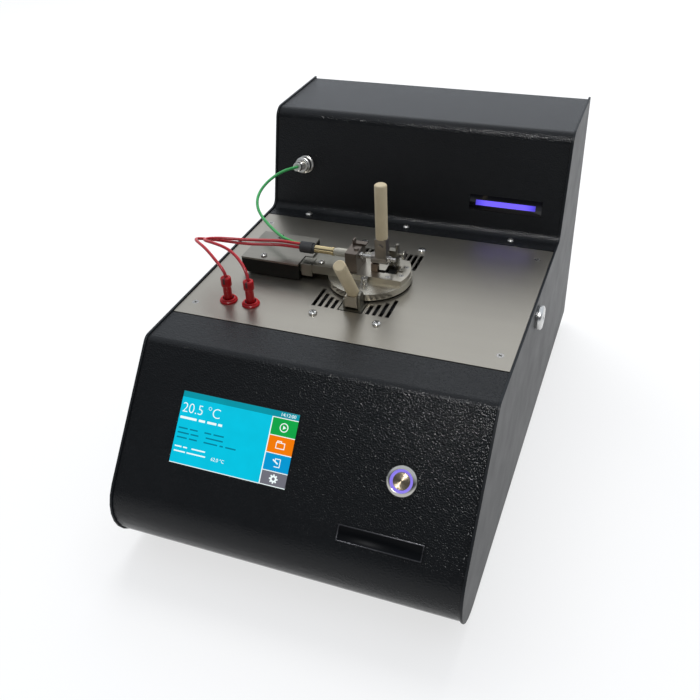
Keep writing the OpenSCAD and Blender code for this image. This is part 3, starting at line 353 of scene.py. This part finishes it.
def turned(name, rings, at, sides, bored=False, angle=35):
    """Turned on a lathe: rings of (radius, height) in mm from the bottom up.

    A bored piece's last ring meets its first.
    """
    bpy.ops.object.select_all(action="DESELECT")
    r, z = rings[0]
    ends = "NOTHING" if bored else "NGON"
    bpy.ops.mesh.primitive_circle_add(vertices=sides, radius=r * MM, fill_type=ends, location=(0, 0, z * MM))
    bpy.ops.object.mode_set(mode="EDIT")
    bpy.ops.mesh.select_all(action="SELECT")
    for r1, z1 in rings[1:]:
        bpy.ops.mesh.extrude_region_move(TRANSFORM_OT_translate={"value": (0, 0, (z1 - z) * MM)})
        bpy.ops.transform.resize(value=(r1 / r, r1 / r, 1), center_override=(0, 0, z1 * MM))
        r, z = r1, z1
    return finished(name, at, angle, bored)


def block(name, low, high, at, edge=0.0):
    """Milled block between two corners in mm, its edges rounded to a radius in mm."""
    bpy.ops.object.select_all(action="DESELECT")
    size = [h - l for l, h in zip(low, high)]
    bpy.ops.mesh.primitive_cube_add(size=1, location=[(l + h) / 2 * MM for l, h in zip(low, high)],
                                    scale=[s * MM for s in size])
    if edge:
        bpy.ops.object.transform_apply(location=False)
        bpy.ops.object.mode_set(mode="EDIT")
        bpy.ops.mesh.select_all(action="SELECT")
        bpy.ops.mesh.bevel(offset=edge * MM, segments=2, affect="EDGES")
    return finished(name, at)


def joined(name, pieces):
    """Several pieces made one, with a finish each."""
    bpy.ops.object.select_all(action="DESELECT")
    for piece in pieces:
        piece.select_set(True)
    bpy.context.view_layer.objects.active = pieces[0]
    bpy.ops.object.join()
    pieces[0].name = name
    return pieces[0]


def lit(name, colour):
    """A finish that shines in its own colour, a little unevenly."""
    finish = Finish(name, [c * 0.1 for c in colour], 0.12)
    dim, full = ([c * share for c in colour] + [1] for share in (0.9, 1.05))
    finish.set("Emission Color", finish.blend(finish.noise(90), dim, full))
    finish.set("Emission Strength", 1.0)
    return finish


def tile(u0, v0, u1, v1, finish, lift):
    """A lit field, placed in shares of the screen from its top left corner, and raised by lift in mm."""
    low = ((u0 - 0.5) * screen_w, (0.5 - v1) * screen_h, 0)
    high = ((u1 - 0.5) * screen_w, (0.5 - v0) * screen_h, lift)
    piece = block("tile", low, high, screen)
    paint(finish, piece)
    return piece


def letters(text, u, v, height, finish, bold=0.0):
    """Plain numbers and signs on the screen, with their top left corner at u, v."""
    bpy.ops.object.select_all(action="DESELECT")
    bpy.ops.object.text_add()
    piece = bpy.context.object
    piece.data.body = text
    piece.data.size = height * MM
    piece.data.offset = bold * MM
    piece.data.extrude = 0.03 * MM
    bpy.ops.object.convert(target="MESH")
    piece = bpy.context.object
    baseline = (0.5 - v) * screen_h - height * 0.7
    piece.data.transform(screen @ Matrix.Translation(((u - 0.5) * screen_w * MM, baseline * MM, 0.08 * MM)))
    paint(finish, piece)
    return piece


pane = Finish("black pane", (0.006, 0.006, 0.007), 0.12)
pane.wear(60, 0.08, 0.16)
cyan = lit("screen cyan", (0.0, 0.52, 0.72))
teal = lit("screen teal", (0.0, 0.28, 0.36))
green = lit("key green", (0.004, 0.36, 0.06))
orange = lit("key orange", (0.86, 0.19, 0.0))
blue = lit("key blue", (0.0, 0.3, 0.62))
grey = lit("key grey", (0.155, 0.155, 0.185))
pale = lit("screen white", (0.85, 0.95, 0.95))
dark = lit("screen dark text", (0.0, 0.2, 0.3))
half_w, half_h = screen_w / 2, screen_h / 2
fields = [block("pane", (-half_w, -half_h, -1.2), (half_w, half_h, -0.02), screen, 0.15)]
paint(pane, fields[0])
left, page_right, keys_left, right = 0.001, 0.782, 0.79, 0.999
page_top, page_low = 0.085, 0.988
fields += [tile(left, page_top, page_right, page_low, cyan, 0.02),
           tile(left, 0.004, right, page_top, teal, 0.02),
           tile(left, page_low, page_right, 0.998, pale, 0.02)]
keys = [(0.098, 0.325, green), (0.335, 0.56, orange), (0.572, 0.795, blue), (0.807, 0.985, grey)]
fields += [tile(keys_left, top, right, low, finish, 0.02) for top, low, finish in keys]
fields += [tile(page_right, 0.088, keys_left, 0.996, pale, 0.03)]
key_edges = (0.087, 0.325, 0.56, 0.796, 0.985)
fields += [tile(keys_left, edge, right, edge + 0.011, pale, 0.03) for edge in key_edges]
fields += [letters("20.5 \u00b0C", 0.015, 0.155, 10.6, pale, -0.14),
           letters("14:12:00", 0.845, 0.02, 3.6, pale)]
rows = [(0.35, 0.032, pale, (0.015, 0.16), (0.18, 0.235), (0.255, 0.335), (0.35, 0.385)),
        (0.5, 0.02, dark, (0.02, 0.1), (0.12, 0.19), (0.25, 0.31), (0.33, 0.42)),
        (0.565, 0.02, dark, (0.02, 0.12), (0.135, 0.205), (0.27, 0.42)),
        (0.63, 0.02, dark, (0.02, 0.11), (0.13, 0.2), (0.26, 0.38), (0.4, 0.43), (0.45, 0.54)),
        (0.755, 0.018, pale, (0.02, 0.08), (0.095, 0.13), (0.17, 0.29)),
        (0.82, 0.018, pale, (0.02, 0.12), (0.135, 0.3))]
for v, thick, finish, *words in rows:
    fields += [tile(u0, v, u1, v + thick, finish, 0.04) for u0, u1 in words]
fields += [letters("62.0 \u00b0C", 0.35, 0.81, 3.6, pale)]


def pictogram(key, shapes):
    """Thin raised outlines in mm about the middle of a key."""
    top, low, _ = key
    u, v = 0.893, (top + low) / 2
    middle = screen @ Matrix.Translation(((u - 0.5) * screen_w * MM, (0.5 - v) * screen_h * MM, 0))
    for kind, *sizes in shapes:
        if kind == "ring":
            r0, r1 = sizes
            piece = turned("sign", [(r0, 0), (r1, 0), (r1, 0.05), (r0, 0.05), (r0, 0)], middle, 40, True)
        elif kind == "disc":
            r, sides, x, y, spin = sizes
            turn = Matrix.Rotation(math.radians(spin), 4, "Z")
            at = middle @ Matrix.Translation((x * MM, y * MM, 0)) @ turn
            piece = turned("sign", [(r, 0), (r, 0.06)], at, sides)
        else:
            x0, y0, x1, y1, spin = sizes
            at = middle @ Matrix.Rotation(math.radians(spin), 4, "Z")
            piece = block("sign", (x0, y0, 0), (x1, y1, 0.06), at)
        paint(pale, piece)
        fields.append(piece)


pictogram(keys[0], [("ring", 2.7, 3.4), ("disc", 1.7, 3, 0.1, 0, -90)])
pictogram(keys[1], [("bar", -3.6, -2.8, 3.6, -2.2, 0), ("bar", -3.6, 1.4, 3.6, 2.0, 0),
                    ("bar", -3.6, -2.8, -3.0, 2.0, 0), ("bar", 3.0, -2.8, 3.6, 2.0, 0),
                    ("bar", -3.0, 2.0, -2.4, 3.0, 0), ("bar", -3.0, 2.5, 0.6, 3.1, 0),
                    ("bar", 0.2, 2.0, 0.8, 3.1, 0)])
pictogram(keys[2], [("bar", -1.8, -3.2, 2.8, -2.6, 0), ("bar", 2.2, -3.2, 2.8, 3.2, 0),
                    ("bar", -1.4, 2.6, 2.8, 3.2, 0), ("bar", -1.8, 0.8, -1.2, 3.2, 0),
                    ("bar", -3.9, -0.6, 1.2, 0.5, -32)])
pictogram(keys[3], [("ring", 1.2, 2.5)] + [("bar", 2.2, -0.55, 3.4, 0.55, a) for a in range(0, 360, 45)])
display = joined("display_screen", fields)
stand_in(display, "display_glass")

# Power button: a 22 mm bezel of turned stainless steel with a sloping face, a
# ring of frosted plastic lit violet from behind, and a plain turned cap that
# travels inwards.
button_at = slope @ Matrix.Translation((0.0831, -0.0644, 0))
bezel = turned("button_bezel", [
    (8.6, -0.1), (11, 0), (11, 0.5), (10.7, 0.9), (9.1, 1.75), (8.7, 1.9), (8.4, 1.8), (8.4, -3),
    (8.6, -3), (8.6, -0.1)], button_at, 96, True)
turned_steel = Finish("turned stainless", (0.3, 0.25, 0.18), 0.26, 1.0)
turned_steel.relief(turned_steel.rings(button_at, 0.5), 0.05, 1.0)
turned_steel.mottle(300, 0.85, 1.1)
polished = Finish("polished stainless", (0.46, 0.45, 0.42), 0.16, 1.0)
polished.wear(250, 0.12, 0.24)
paint(polished, bezel)
shell = turned("button_shell", [
    (9.3, -24), (9.4, -0.2), (8.5, -0.1), (8.3, -4), (6.4, -4), (6.3, -24), (9.3, -24)], button_at, 48, True)
black_plastic = Finish("black plastic", (0.022, 0.022, 0.023), 0.45)
black_plastic.wear(400, 0.38, 0.55)
black_plastic.relief(black_plastic.noise(1200), 0.03, 0.5, 0.2)
paint(black_plastic, shell)
nut = turned("button_nut", [
    (9.5, -4.6), (11.3, -4.6), (11.3, -1.7), (9.5, -1.7), (9.5, -4.6)], button_at, 6, True, 20)
paint(polished, nut)
ring = turned("button_ring", [
    (6.4, -0.4), (8.35, -0.4), (8.35, 0.9), (8.1, 1.2), (6.6, 1.2), (6.4, 1.05), (6.4, -0.4)],
    button_at, 72, True)
violet = lit("violet ring", (0.27, 0.21, 0.82))
paint(violet, ring)
housing = joined("button_body", [bezel, shell, nut])
stand_in(housing, "button_housing")
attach(ring, "case")
cap = turned("button_cap_turned", [
    (6.1, -4.5), (6.2, -4.2), (6.2, 1.05), (6.05, 1.2), (3, 1.18), (0.02, 1.16)], button_at, 72)
paint(turned_steel, cap)
stand_in(cap, "button_cap")

# Nameplate, left bare: a dark anodised plate let into a thin satin frame, and
# glued to the slope.
plate_at = slope @ Matrix.Translation((0.0762, -0.109, 0))
plate_w, plate_h = 62.9, 12
plate_low, plate_high = (-plate_w / 2, -plate_h / 2, 0), (plate_w / 2, plate_h / 2, 0.9)
plate = block("bare_nameplate", plate_low, plate_high, plate_at, 0.25)
bpy.ops.object.mode_set(mode="EDIT")
bpy.ops.mesh.select_all(action="DESELECT")
bpy.ops.object.mode_set(mode="OBJECT")
outwards = slope.to_3x3() @ Vector((0, 0, 1))
for face in plate.data.polygons:
    face.select = face.normal.dot(outwards) > 0.99 and face.area > plate_w * plate_h / 4 * MM ** 2
bpy.ops.object.mode_set(mode="EDIT")
bpy.ops.mesh.inset(thickness=0.4 * MM, depth=0)
bpy.ops.mesh.inset(thickness=0.15 * MM, depth=-0.35 * MM)
bpy.ops.object.mode_set(mode="OBJECT")
dull = Finish("dark anodised plate", (0.003, 0.0035, 0.0045), 0.4, Specular_IOR_Level=0.05)
dull.set("Base Color", dull.shade(dull.noise(1.0, 2, (20, 900, 900)), 0.8, 1.3))
edge_metal = Finish("dark satin edge", (0.06, 0.06, 0.065), 0.3, 0.8)
edge_metal.wear(300, 0.25, 0.4)
paint(edge_metal, plate)
plate.data.materials.append(dull.data)
for face in plate.data.polygons:
    if face.select:
        face.material_index = 1
stand_in(plate, "nameplate")

# Side knob: a turned aluminium disc with a rounded rim, screwed to the right
# side plate.
knob_lo, knob_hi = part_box("side_knob")
knob_middle = (knob_lo[0], (knob_lo[1] + knob_hi[1]) / 2, (knob_lo[2] + knob_hi[2]) / 2)
knob_at = Matrix.Translation(knob_middle) @ Matrix.Rotation(math.radians(90), 4, "Y")
knob = turned("turned_knob", [
    (9.2, 0), (9.3, 0.8), (10, 1.3), (10, 3.4), (9.6, 4.2), (8.6, 4.8), (7, 5), (3.2, 4.7), (2.9, 4.2),
    (0.02, 4.1)], knob_at, 72)
aluminium = Finish("turned aluminium", (0.6, 0.6, 0.59), 0.3, 1.0)
aluminium.wear(300, 0.22, 0.36)
aluminium.relief(aluminium.noise(1.0, 2, (2500, 300, 300)), 0.02, 0.4)
paint(aluminium, knob)
stand_in(knob, "side_knob")

# Light window in the tower: a pane of smoked plastic set into its opening, with
# a bar of violet light that fades towards its ends.
tower_start_y, tower_lean = 0.104261, math.radians(15.2)
tower = Matrix.Translation((0, tower_start_y, deck_z)) @ Matrix.Rotation(math.pi / 2 - tower_lean, 4, "X")
window_x = 0.0878
window_at = tower @ Matrix.Translation((window_x, 0.0265, 0))
smoked = Finish("smoked window", (0.004, 0.004, 0.007), 0.1)
smoked.wear(60, 0.06, 0.14)
window = block("window_pane", (-32.75, -6.95, -4.5), (32.75, 6.95, -0.4), window_at, 0.2)
paint(smoked, window)
glow = Finish("violet light bar", (0.05, 0.03, 0.3), 0.3)
along = glow.node("ShaderNodeSeparateXYZ", (), {0: glow.place(move=(-window_x, 0, 0))})
full_square, dim_square = 0.0003, 0.00082
spread = glow.between(along * along, full_square, dim_square, 1.0, 0.0)
glow.set("Emission Color", glow.blend(spread, (0.02, 0.015, 0.3, 1), (0.13, 0.09, 0.85, 1)))
glow.set("Emission Strength", 1.3)
bar_w, bar_h = 54, 4.8
bar = block("window_bar", (-bar_w / 2, -bar_h / 2, -0.42), (bar_w / 2, bar_h / 2, -0.34), window_at)
paint(glow, bar)
window = joined("light_window_pane", [window, bar])
stand_in(window, "light_window")

# Signal connector: a nickel-plated bayonet plug and panel socket for the green
# lead, with a turned ring that takes a quarter turn to let go.
socket_at = tower @ Matrix.Translation((-0.10785, 0.0434, 0))
nickel = Finish("satin nickel", (0.62, 0.61, 0.58), 0.3, 1.0)
nickel.mottle(350, 0.8, 1.1)
nickel.relief(nickel.noise(1500), 0.02, 0.4, 0.15)
socket = turned("panel_socket", [
    (3.4, 3), (3.4, 8.8), (3.6, 9), (4.6, 9), (4.8, 8.7), (4.8, 2.0), (7.7, 1.7), (8.2, 1.3),
    (8.2, 0.05), (6, 0), (5.8, -14), (3.0, -14), (3.0, 3), (3.4, 3)], socket_at, 56, True)
paint(nickel, socket)
stand_in(socket, "signal_socket")
plug = turned("signal_plug_turned", [
    (3.0, 4), (3.3, 4.3), (3.3, 12.4), (4.1, 12.7), (4.1, 14.2), (3.6, 14.4), (3.6, 15), (4.4, 15.2),
    (4.4, 16.6), (3.8, 16.9), (3.8, 17.4), (4.3, 17.7), (4.1, 21.2), (3.8, 21.5), (1.6, 21.5),
    (1.5, 20.8)], socket_at, 48)
paint(nickel, plug)
stand_in(plug, "signal_plug")
rim = turned("coupling_ring_knurled", [
    (4.9, 2.2), (6.6, 2.2), (7.0, 2.6), (7.0, 3.4), (7.2, 3.6), (7.5, 4.0), (7.5, 8.4), (7.1, 8.8),
    (6.6, 9.0), (6.6, 11.5), (6.2, 12.0), (3.4, 12.0), (3.4, 9.4), (4.9, 9.4), (4.9, 2.2)],
    socket_at, 72, True)
paint(nickel, rim)
stand_in(rim, "coupling_ring")

# Lead sockets and plugs: moulded red insulating parts over plated metal. Each
# plug is a plain round body with a wider head and a notch for its clamping
# screw, and stands in a flanged socket that a nut holds under the deck.
moulded = Finish("moulded red plastic", (0.38, 0.004, 0.008), 0.3, Specular_IOR_Level=0.25)
moulded.mottle(220, 0.8, 1.15)
moulded.relief(moulded.noise(1200), 0.03, 0.4, 0.15)
# Painted shade: a dark red for the clamping screw's notch and for the gap where each plug stands in its
# flange. Both are drawn as pieces on the surface, not cut in.
plug_gap_shade = Finish("painted plug gap shade", (0.06, 0.004, 0.006), 0.7)
plug_gap_shade.mottle(500, 0.7, 1.2)
sockets, plugs = [], []
for x in plug_x:
    at = cup_axis @ Matrix.Translation((x * MM, plug_y * MM, 0))
    flange = turned("flange", [
        (4.0, 0.6), (4.5, 2.0), (4.7, 2.9), (5.4, 3.1), (6.2, 2.7), (6.4, 1.9), (7.2, 1.4), (7.4, 1.0),
        (7.4, 0.05), (4.9, 0), (4.8, -18), (2.4, -18), (2.4, 0.6), (4.0, 0.6)], at, 56, True)
    paint(moulded, flange)
    hexagon = turned("hexagon", [
        (4.9, -4.5), (7, -4.5), (7, -1.5), (4.9, -1.5), (4.9, -4.5)], at, 6, True, 20)
    paint(nickel, hexagon)
    sockets += [flange, hexagon]
    pin = turned("pin", [(1.5, -12), (1.9, -11.4), (1.9, 0.6)], at, 24)
    paint(nickel, pin)
    body = turned("body", [
        (3.5, 0.7), (3.55, 3), (3.5, 13.4), (3.7, 14), (4.2, 14.4), (4.35, 14.8), (4.35, 21.0),
        (4.1, 21.7), (3.6, plug_top), (2.3, plug_top), (2.1, 21.4), (1.4, 21.2)], at, 48)
    paint(moulded, body)
    # The notch and the ring round the plug's foot are painted shade, set on the surface.
    notch = block("notch", (-0.5, -4.42, 17.4), (1.3, -2.6, 22.04), at)
    well = turned("well", [
        (3.56, 0.7), (4.06, 0.7), (4.68, 2.92), (4.5, 2.5), (3.9, 0.9), (3.56, 0.9), (3.56, 0.7)],
        at, 40, True)
    paint(plug_gap_shade, notch, well)
    plugs += [pin, body, notch, well]
sockets = joined("lead_socket_flanges", sockets)
stand_in(sockets, "lead_sockets")
plugs = joined("lead_plug_bodies", plugs)
stand_in(plugs, "lead_plugs")

# Screws of the case and of the heated block: stainless pan heads and
# countersunk heads with a cross recess, in the plain finish of bought screws.
screw_steel = Finish("plain screw steel", (0.4, 0.39, 0.37), 0.26, 1.0)
screw_steel.wear(500, 0.2, 0.34)
screw_steel.relief(screw_steel.noise(900), 0.02, 0.4, 0.15)
bright_screw = Finish("nickel-plated screw", (0.6, 0.59, 0.56), 0.2, 1.0)
bright_screw.wear(500, 0.15, 0.28)
bright_screw.relief(bright_screw.noise(900), 0.02, 0.4, 0.15)
paint(screw_steel, "case_screws")
# Painted shade: a near-black finish for the shade inside the block screws' cross recesses.
recess_shade = Finish("painted screw slot shade", (0.02, 0.02, 0.02), 0.5)
recess_shade.wear(500, 0.4, 0.6)
screws = []
block_screw_x, block_screw_y = 26.9, 61
for x, y in ((-1, -1), (1, -1), (1, 1), (-1, 1)):
    at = cup_axis @ Matrix.Translation((block_screw_x * x * MM, block_screw_y * y * MM, 0))
    head = turned("head", [
        (1.9, -14), (1.9, 0.01), (3.4, 0.02), (3.5, 0.2), (3.5, 1.0), (3.2, 1.6), (2.6, 1.95),
        (1.4, 2.08), (0.02, 2.1)], at, 48)
    paint(bright_screw, head)
    turns = [Matrix.Rotation(math.radians(angle), 4, "Z") for angle in (45, 135)]
    # The cross recess is not cut. Two thin blocks, barely above the head and painted near-black, stand in
    # for its shade.
    cross = [block("slit", (-2.3, -0.5, 0.8), (2.3, 0.5, 2.16), at @ turn, 0.1) for turn in turns]
    paint(recess_shade, *cross)
    screws += [head] + cross
screws = joined("block_screw_heads", screws)
stand_in(screws, "block_screws")

# Lid: machined steel parts, slightly darkened by heat, bolted together. The
# disc is turned and closes the cup, and the arm ties it to the hinge housing.
steel = Finish("machined steel", (0.24, 0.23, 0.195), 0.32, 1.0)
steel.mottle(70, 0.75, 1.15, 3)
steel.wear(200, 0.28, 0.42)
steel.relief(steel.noise(1.0, 2, (900, 160, 900)), 0.02, 0.4)
disc_steel = Finish("turned lid steel", (0.6, 0.57, 0.49), 0.26, 1.0)
disc_steel.relief(disc_steel.rings(cup_axis, 0.5), 0.03, 0.9)
disc_steel.mottle(60, 0.8, 1.1, 3)
plate_steel = Finish("ground plate steel", (0.47, 0.44, 0.375), 0.3, 1.0)
plate_steel.mottle(70, 0.75, 1.15, 3)
plate_steel.relief(plate_steel.noise(1.0, 2, (900, 160, 900)), 0.03, 0.5)
brown_steel = Finish("heat-browned steel", (0.15, 0.125, 0.105), 0.34, 1.0)
brown_steel.mottle(90, 0.75, 1.15, 3)
brown_steel.relief(brown_steel.noise(1.0, 2, (900, 160, 900)), 0.02, 0.4)
softened("lid_disc_turned", "lid_disc", 0.45, disc_steel)
softened("guide_plate_milled", "guide_plate", 0.2, plate_steel)
softened("lid_arm_milled", "lid_arm", 0.3, steel)
softened("shaft_bracket_milled", "shaft_bracket", 0.25, brown_steel)
softened("stop_bracket_bent", "stop_bracket", 0.2, steel)
sheet_steel = Finish("brushed cover sheet", (0.25, 0.235, 0.205), 0.33, 1.0)
sheet_streaks = sheet_steel.noise(1.0, 3, (20, 1300, 1300))
sheet_steel.set("Base Color", sheet_steel.shade(sheet_streaks, 0.82, 1.15))
sheet_steel.relief(sheet_streaks, 0.04, 0.5)
softened("hinge_cover_sheet", "hinge_cover", 0.3, sheet_steel)
black_and_shade = Finish("near-black parts and painted shade", (0.004, 0.0045, 0.0035), 0.4, Specular_IOR_Level=0.2)
black_and_shade.wear(300, 0.34, 0.46)
black_and_shade.relief(black_and_shade.noise(900), 0.03, 0.4)
softened("hinge_housing", "hinge_block", 0.4, black_and_shade)
paint(screw_steel, "lid_screws", "filler_port", "hinge_pin", "latch_pin")
paint(steel, "hinge_bracket")

# Igniter: a rubber boot on the leads, a brass tube, and a ceramic insulator
# that holds the tube off the bracket.
rubber = Finish("black rubber", (0.016, 0.016, 0.017), 0.6)
rubber.relief(rubber.noise(900), 0.04, 0.5, 0.4)
rubber.wear(300, 0.5, 0.7)
paint(rubber, "igniter_boot", "rubber_feet", "cup_seal")
brass = Finish("turned brass", (0.62, 0.5, 0.28), 0.18, 1.0)
brass.mottle(180, 0.85, 1.1, 3)
brass.relief(brass.noise(1.0, 2, (1800, 200, 200)), 0.01, 0.3, 0.2)
paint(brass, "igniter_tube")
ceramic = Finish("cream ceramic", (0.42, 0.4, 0.33), 0.4)
ceramic.mottle(250, 0.8, 1.08, 3)
ceramic.relief(ceramic.noise(700), 0.03, 0.4, 0.3)
paint(ceramic, "igniter_insulator")

# Turning group: shaft, cam hub and grip. The grips on the hub's post and on the
# latch are turned from beige engineering plastic.
paint(screw_steel, "igniter_shaft")
dark_steel = Finish("oiled steel", (0.22, 0.205, 0.19), 0.33, 1.0)
dark_steel.mottle(150, 0.7, 1.2, 3)
dark_steel.relief(dark_steel.noise(900), 0.02, 0.5, 0.25)
paint(dark_steel, "cam_hub")
beige = Finish("beige engineering plastic", (0.5, 0.415, 0.27), 0.5, Specular_IOR_Level=0.25)
beige.mottle(110, 0.88, 1.1, 3)
beige.relief(beige.noise(1.0, 2, (200, 200, 2600)), 0.03, 0.4, 0.35)
paint(beige, "lever_grip", "latch_grip")

# Shutter: a thin sliding steel plate in the guide plate's channel, coloured near-black as painted shade for
# the window above it, with a bronze follower that the cam hub's groove pushes sideways.
copper = Finish("bronze follower", (0.24, 0.185, 0.145), 0.34, 1.0)
copper.mottle(300, 0.75, 1.1)
copper.relief(copper.noise(900), 0.02, 0.4, 0.2)
paint(copper, "shutter_follower")
# Near-black, which paints the shade down in the guide plate's window.
paint(black_and_shade, "shutter_plate")

# Latch: a milled steel base let into a notch of the deck, with two cheeks, and a
# blasted steel lever block that a pin holds between them.
light_steel = Finish("satin milled steel", (0.4, 0.375, 0.33), 0.3, 1.0)
light_steel.mottle(150, 0.75, 1.1, 3)
light_steel.relief(light_steel.noise(900), 0.02, 0.4, 0.3)
latch_steel = Finish("bead-blasted steel", (0.42, 0.38, 0.31), 0.38, 0.9)
latch_steel.mottle(150, 0.8, 1.08, 3)
latch_steel.relief(latch_steel.noise(900), 0.02, 0.4, 0.3)
paint(latch_steel, "latch_lever")
paint(steel, "latch_base")

# Heated block under the lid: a milled cup in a steel block with a heater band,
# an insulating ring, and a finned aluminium heat sink that hangs on the four big
# screws. Rails carry the deck, and the electronics are inside the case.
paint(light_steel, "sample_cup", "cup_block")
paint(aluminium, "heat_sink")
# Painted shade: the insulating ring is coloured near-black. This is partly its own dark finish and partly
# the shade under the deck that shows through its slots.
insulation_and_shade = Finish("insulating board and painted shade", (0.008, 0.0075, 0.007), 0.9)
insulation_and_shade.mottle(300, 0.8, 1.1, 4)
insulation_and_shade.relief(insulation_and_shade.noise(500), 0.3, 0.5)
paint(insulation_and_shade, "insulation_ring")
# The heater band and the rails are near-black as well, partly painted shade under the deck.
paint(black_and_shade, "block_heater", "deck_rails")
zinc = Finish("zinc-plated sheet", (0.5, 0.51, 0.52), 0.35, 1.0)
zinc.mottle(60, 0.8, 1.15, 3)
zinc.wear(120, 0.28, 0.45)
paint(zinc, "power_supply")
board = Finish("circuit board", (0.012, 0.14, 0.045), 0.4)
board.mottle(400, 0.7, 1.3, 2)
paint(board, "control_board", "display_module")

# Back: a moulded power inlet with its red rocker switch, snapped into the rear
# panel, and a moulded fan that is screwed on behind its grille.
paint(black_plastic, "power_inlet", "fan_frame", "fan_rotor")
switch_red = Finish("red rocker", (0.5, 0.01, 0.01), 0.3)
switch_red.wear(300, 0.25, 0.4)
switch_red.relief(switch_red.noise(900), 0.02, 0.3, 0.3)
paint(switch_red, "inlet_switch")

# Pale bench under the tester. It looks white to the camera and in reflections,
# and keeps the tester's shadow.
bpy.ops.object.select_all(action="DESELECT")
bpy.ops.mesh.primitive_plane_add(size=30)
bench = bpy.context.object
bench.name = "bench"
white = Finish("pale bench", (0.93, 0.93, 0.93), 0.9)
rays = [white.node("ShaderNodeLightPath", out=kind)
        for kind in ("Is Camera Ray", "Is Glossy Ray", "Is Transmission Ray")]
seen = rays[0] + rays[1] + rays[2]
plain = white.node("ShaderNodeEmission", (), {"Color": (1, 1, 1, 1), "Strength": 1.0})
both = white.node("ShaderNodeMixShader", (), {0: seen * 0.7, 2: plain})
white.tree.links.new(white.shader.outputs[0], both.socket.node.inputs[1])
white.tree.links.new(both.socket, white.tree.nodes["Material Output"].inputs[0])
paint(white, bench)

# Studio: a dark room in front and a bright one above and behind, with a pale
# band low down all round, and soft lamps. A small hard one in front makes the
# coat's grain sparkle.
world = bpy.data.worlds.new("studio")
bpy.context.scene.world = world
world.use_nodes = True
sky = Nodes(world.node_tree)
to = sky.node("ShaderNodeTexCoord", out="Generated")
up_and_back = (0, 1.0, 0.9)
share = sky.node("ShaderNodeVectorMath", {"operation": "DOT_PRODUCT"}, {0: to, 1: up_and_back}, out="Value")
upper = sky.between(share, -0.2, 0.6, 0.0, 1.0)
rise = sky.node("ShaderNodeSeparateXYZ", (), {0: to}, out="Z")
horizon = sky.between(rise, 0.1, 0.3, 0.55, 0.0)
bright = sky.node("ShaderNodeMath", {"operation": "MAXIMUM"}, {0: upper, 1: horizon})
room, daylight = (0.065, 0.065, 0.07, 1), (0.82, 0.87, 0.94, 1)
sky.put(sky.tree.nodes["Background"].inputs["Color"], sky.blend(bright, room, daylight))


def softbox(name, place, size, power, glossy=True, diffuse=True):
    """A rectangular lamp, aimed at the middle of the tester."""
    lamp = bpy.data.lights.new(name, "AREA")
    lamp.shape = "RECTANGLE"
    lamp.size, lamp.size_y = size
    lamp.energy = power
    holder = bpy.data.objects.new(name, lamp)
    bpy.context.scene.collection.objects.link(holder)
    holder.location = place
    holder.rotation_euler = (Vector((0, 0, 0.1)) - Vector(place)).to_track_quat("-Z", "Y").to_euler()
    holder.visible_glossy, holder.visible_diffuse = glossy, diffuse


softbox("key", (-0.3, 1.2, 1.9), (1.6, 1.2), 36, glossy=False)
softbox("ceiling", (-0.4, 1.7, 1.5), (1.6, 1.0), 2.5)
softbox("sparkle", (0.15, -1.15, 2.1), (0.22, 0.22), 30, diffuse=False)

bpy.context.scene.view_settings.view_transform = "Standard"
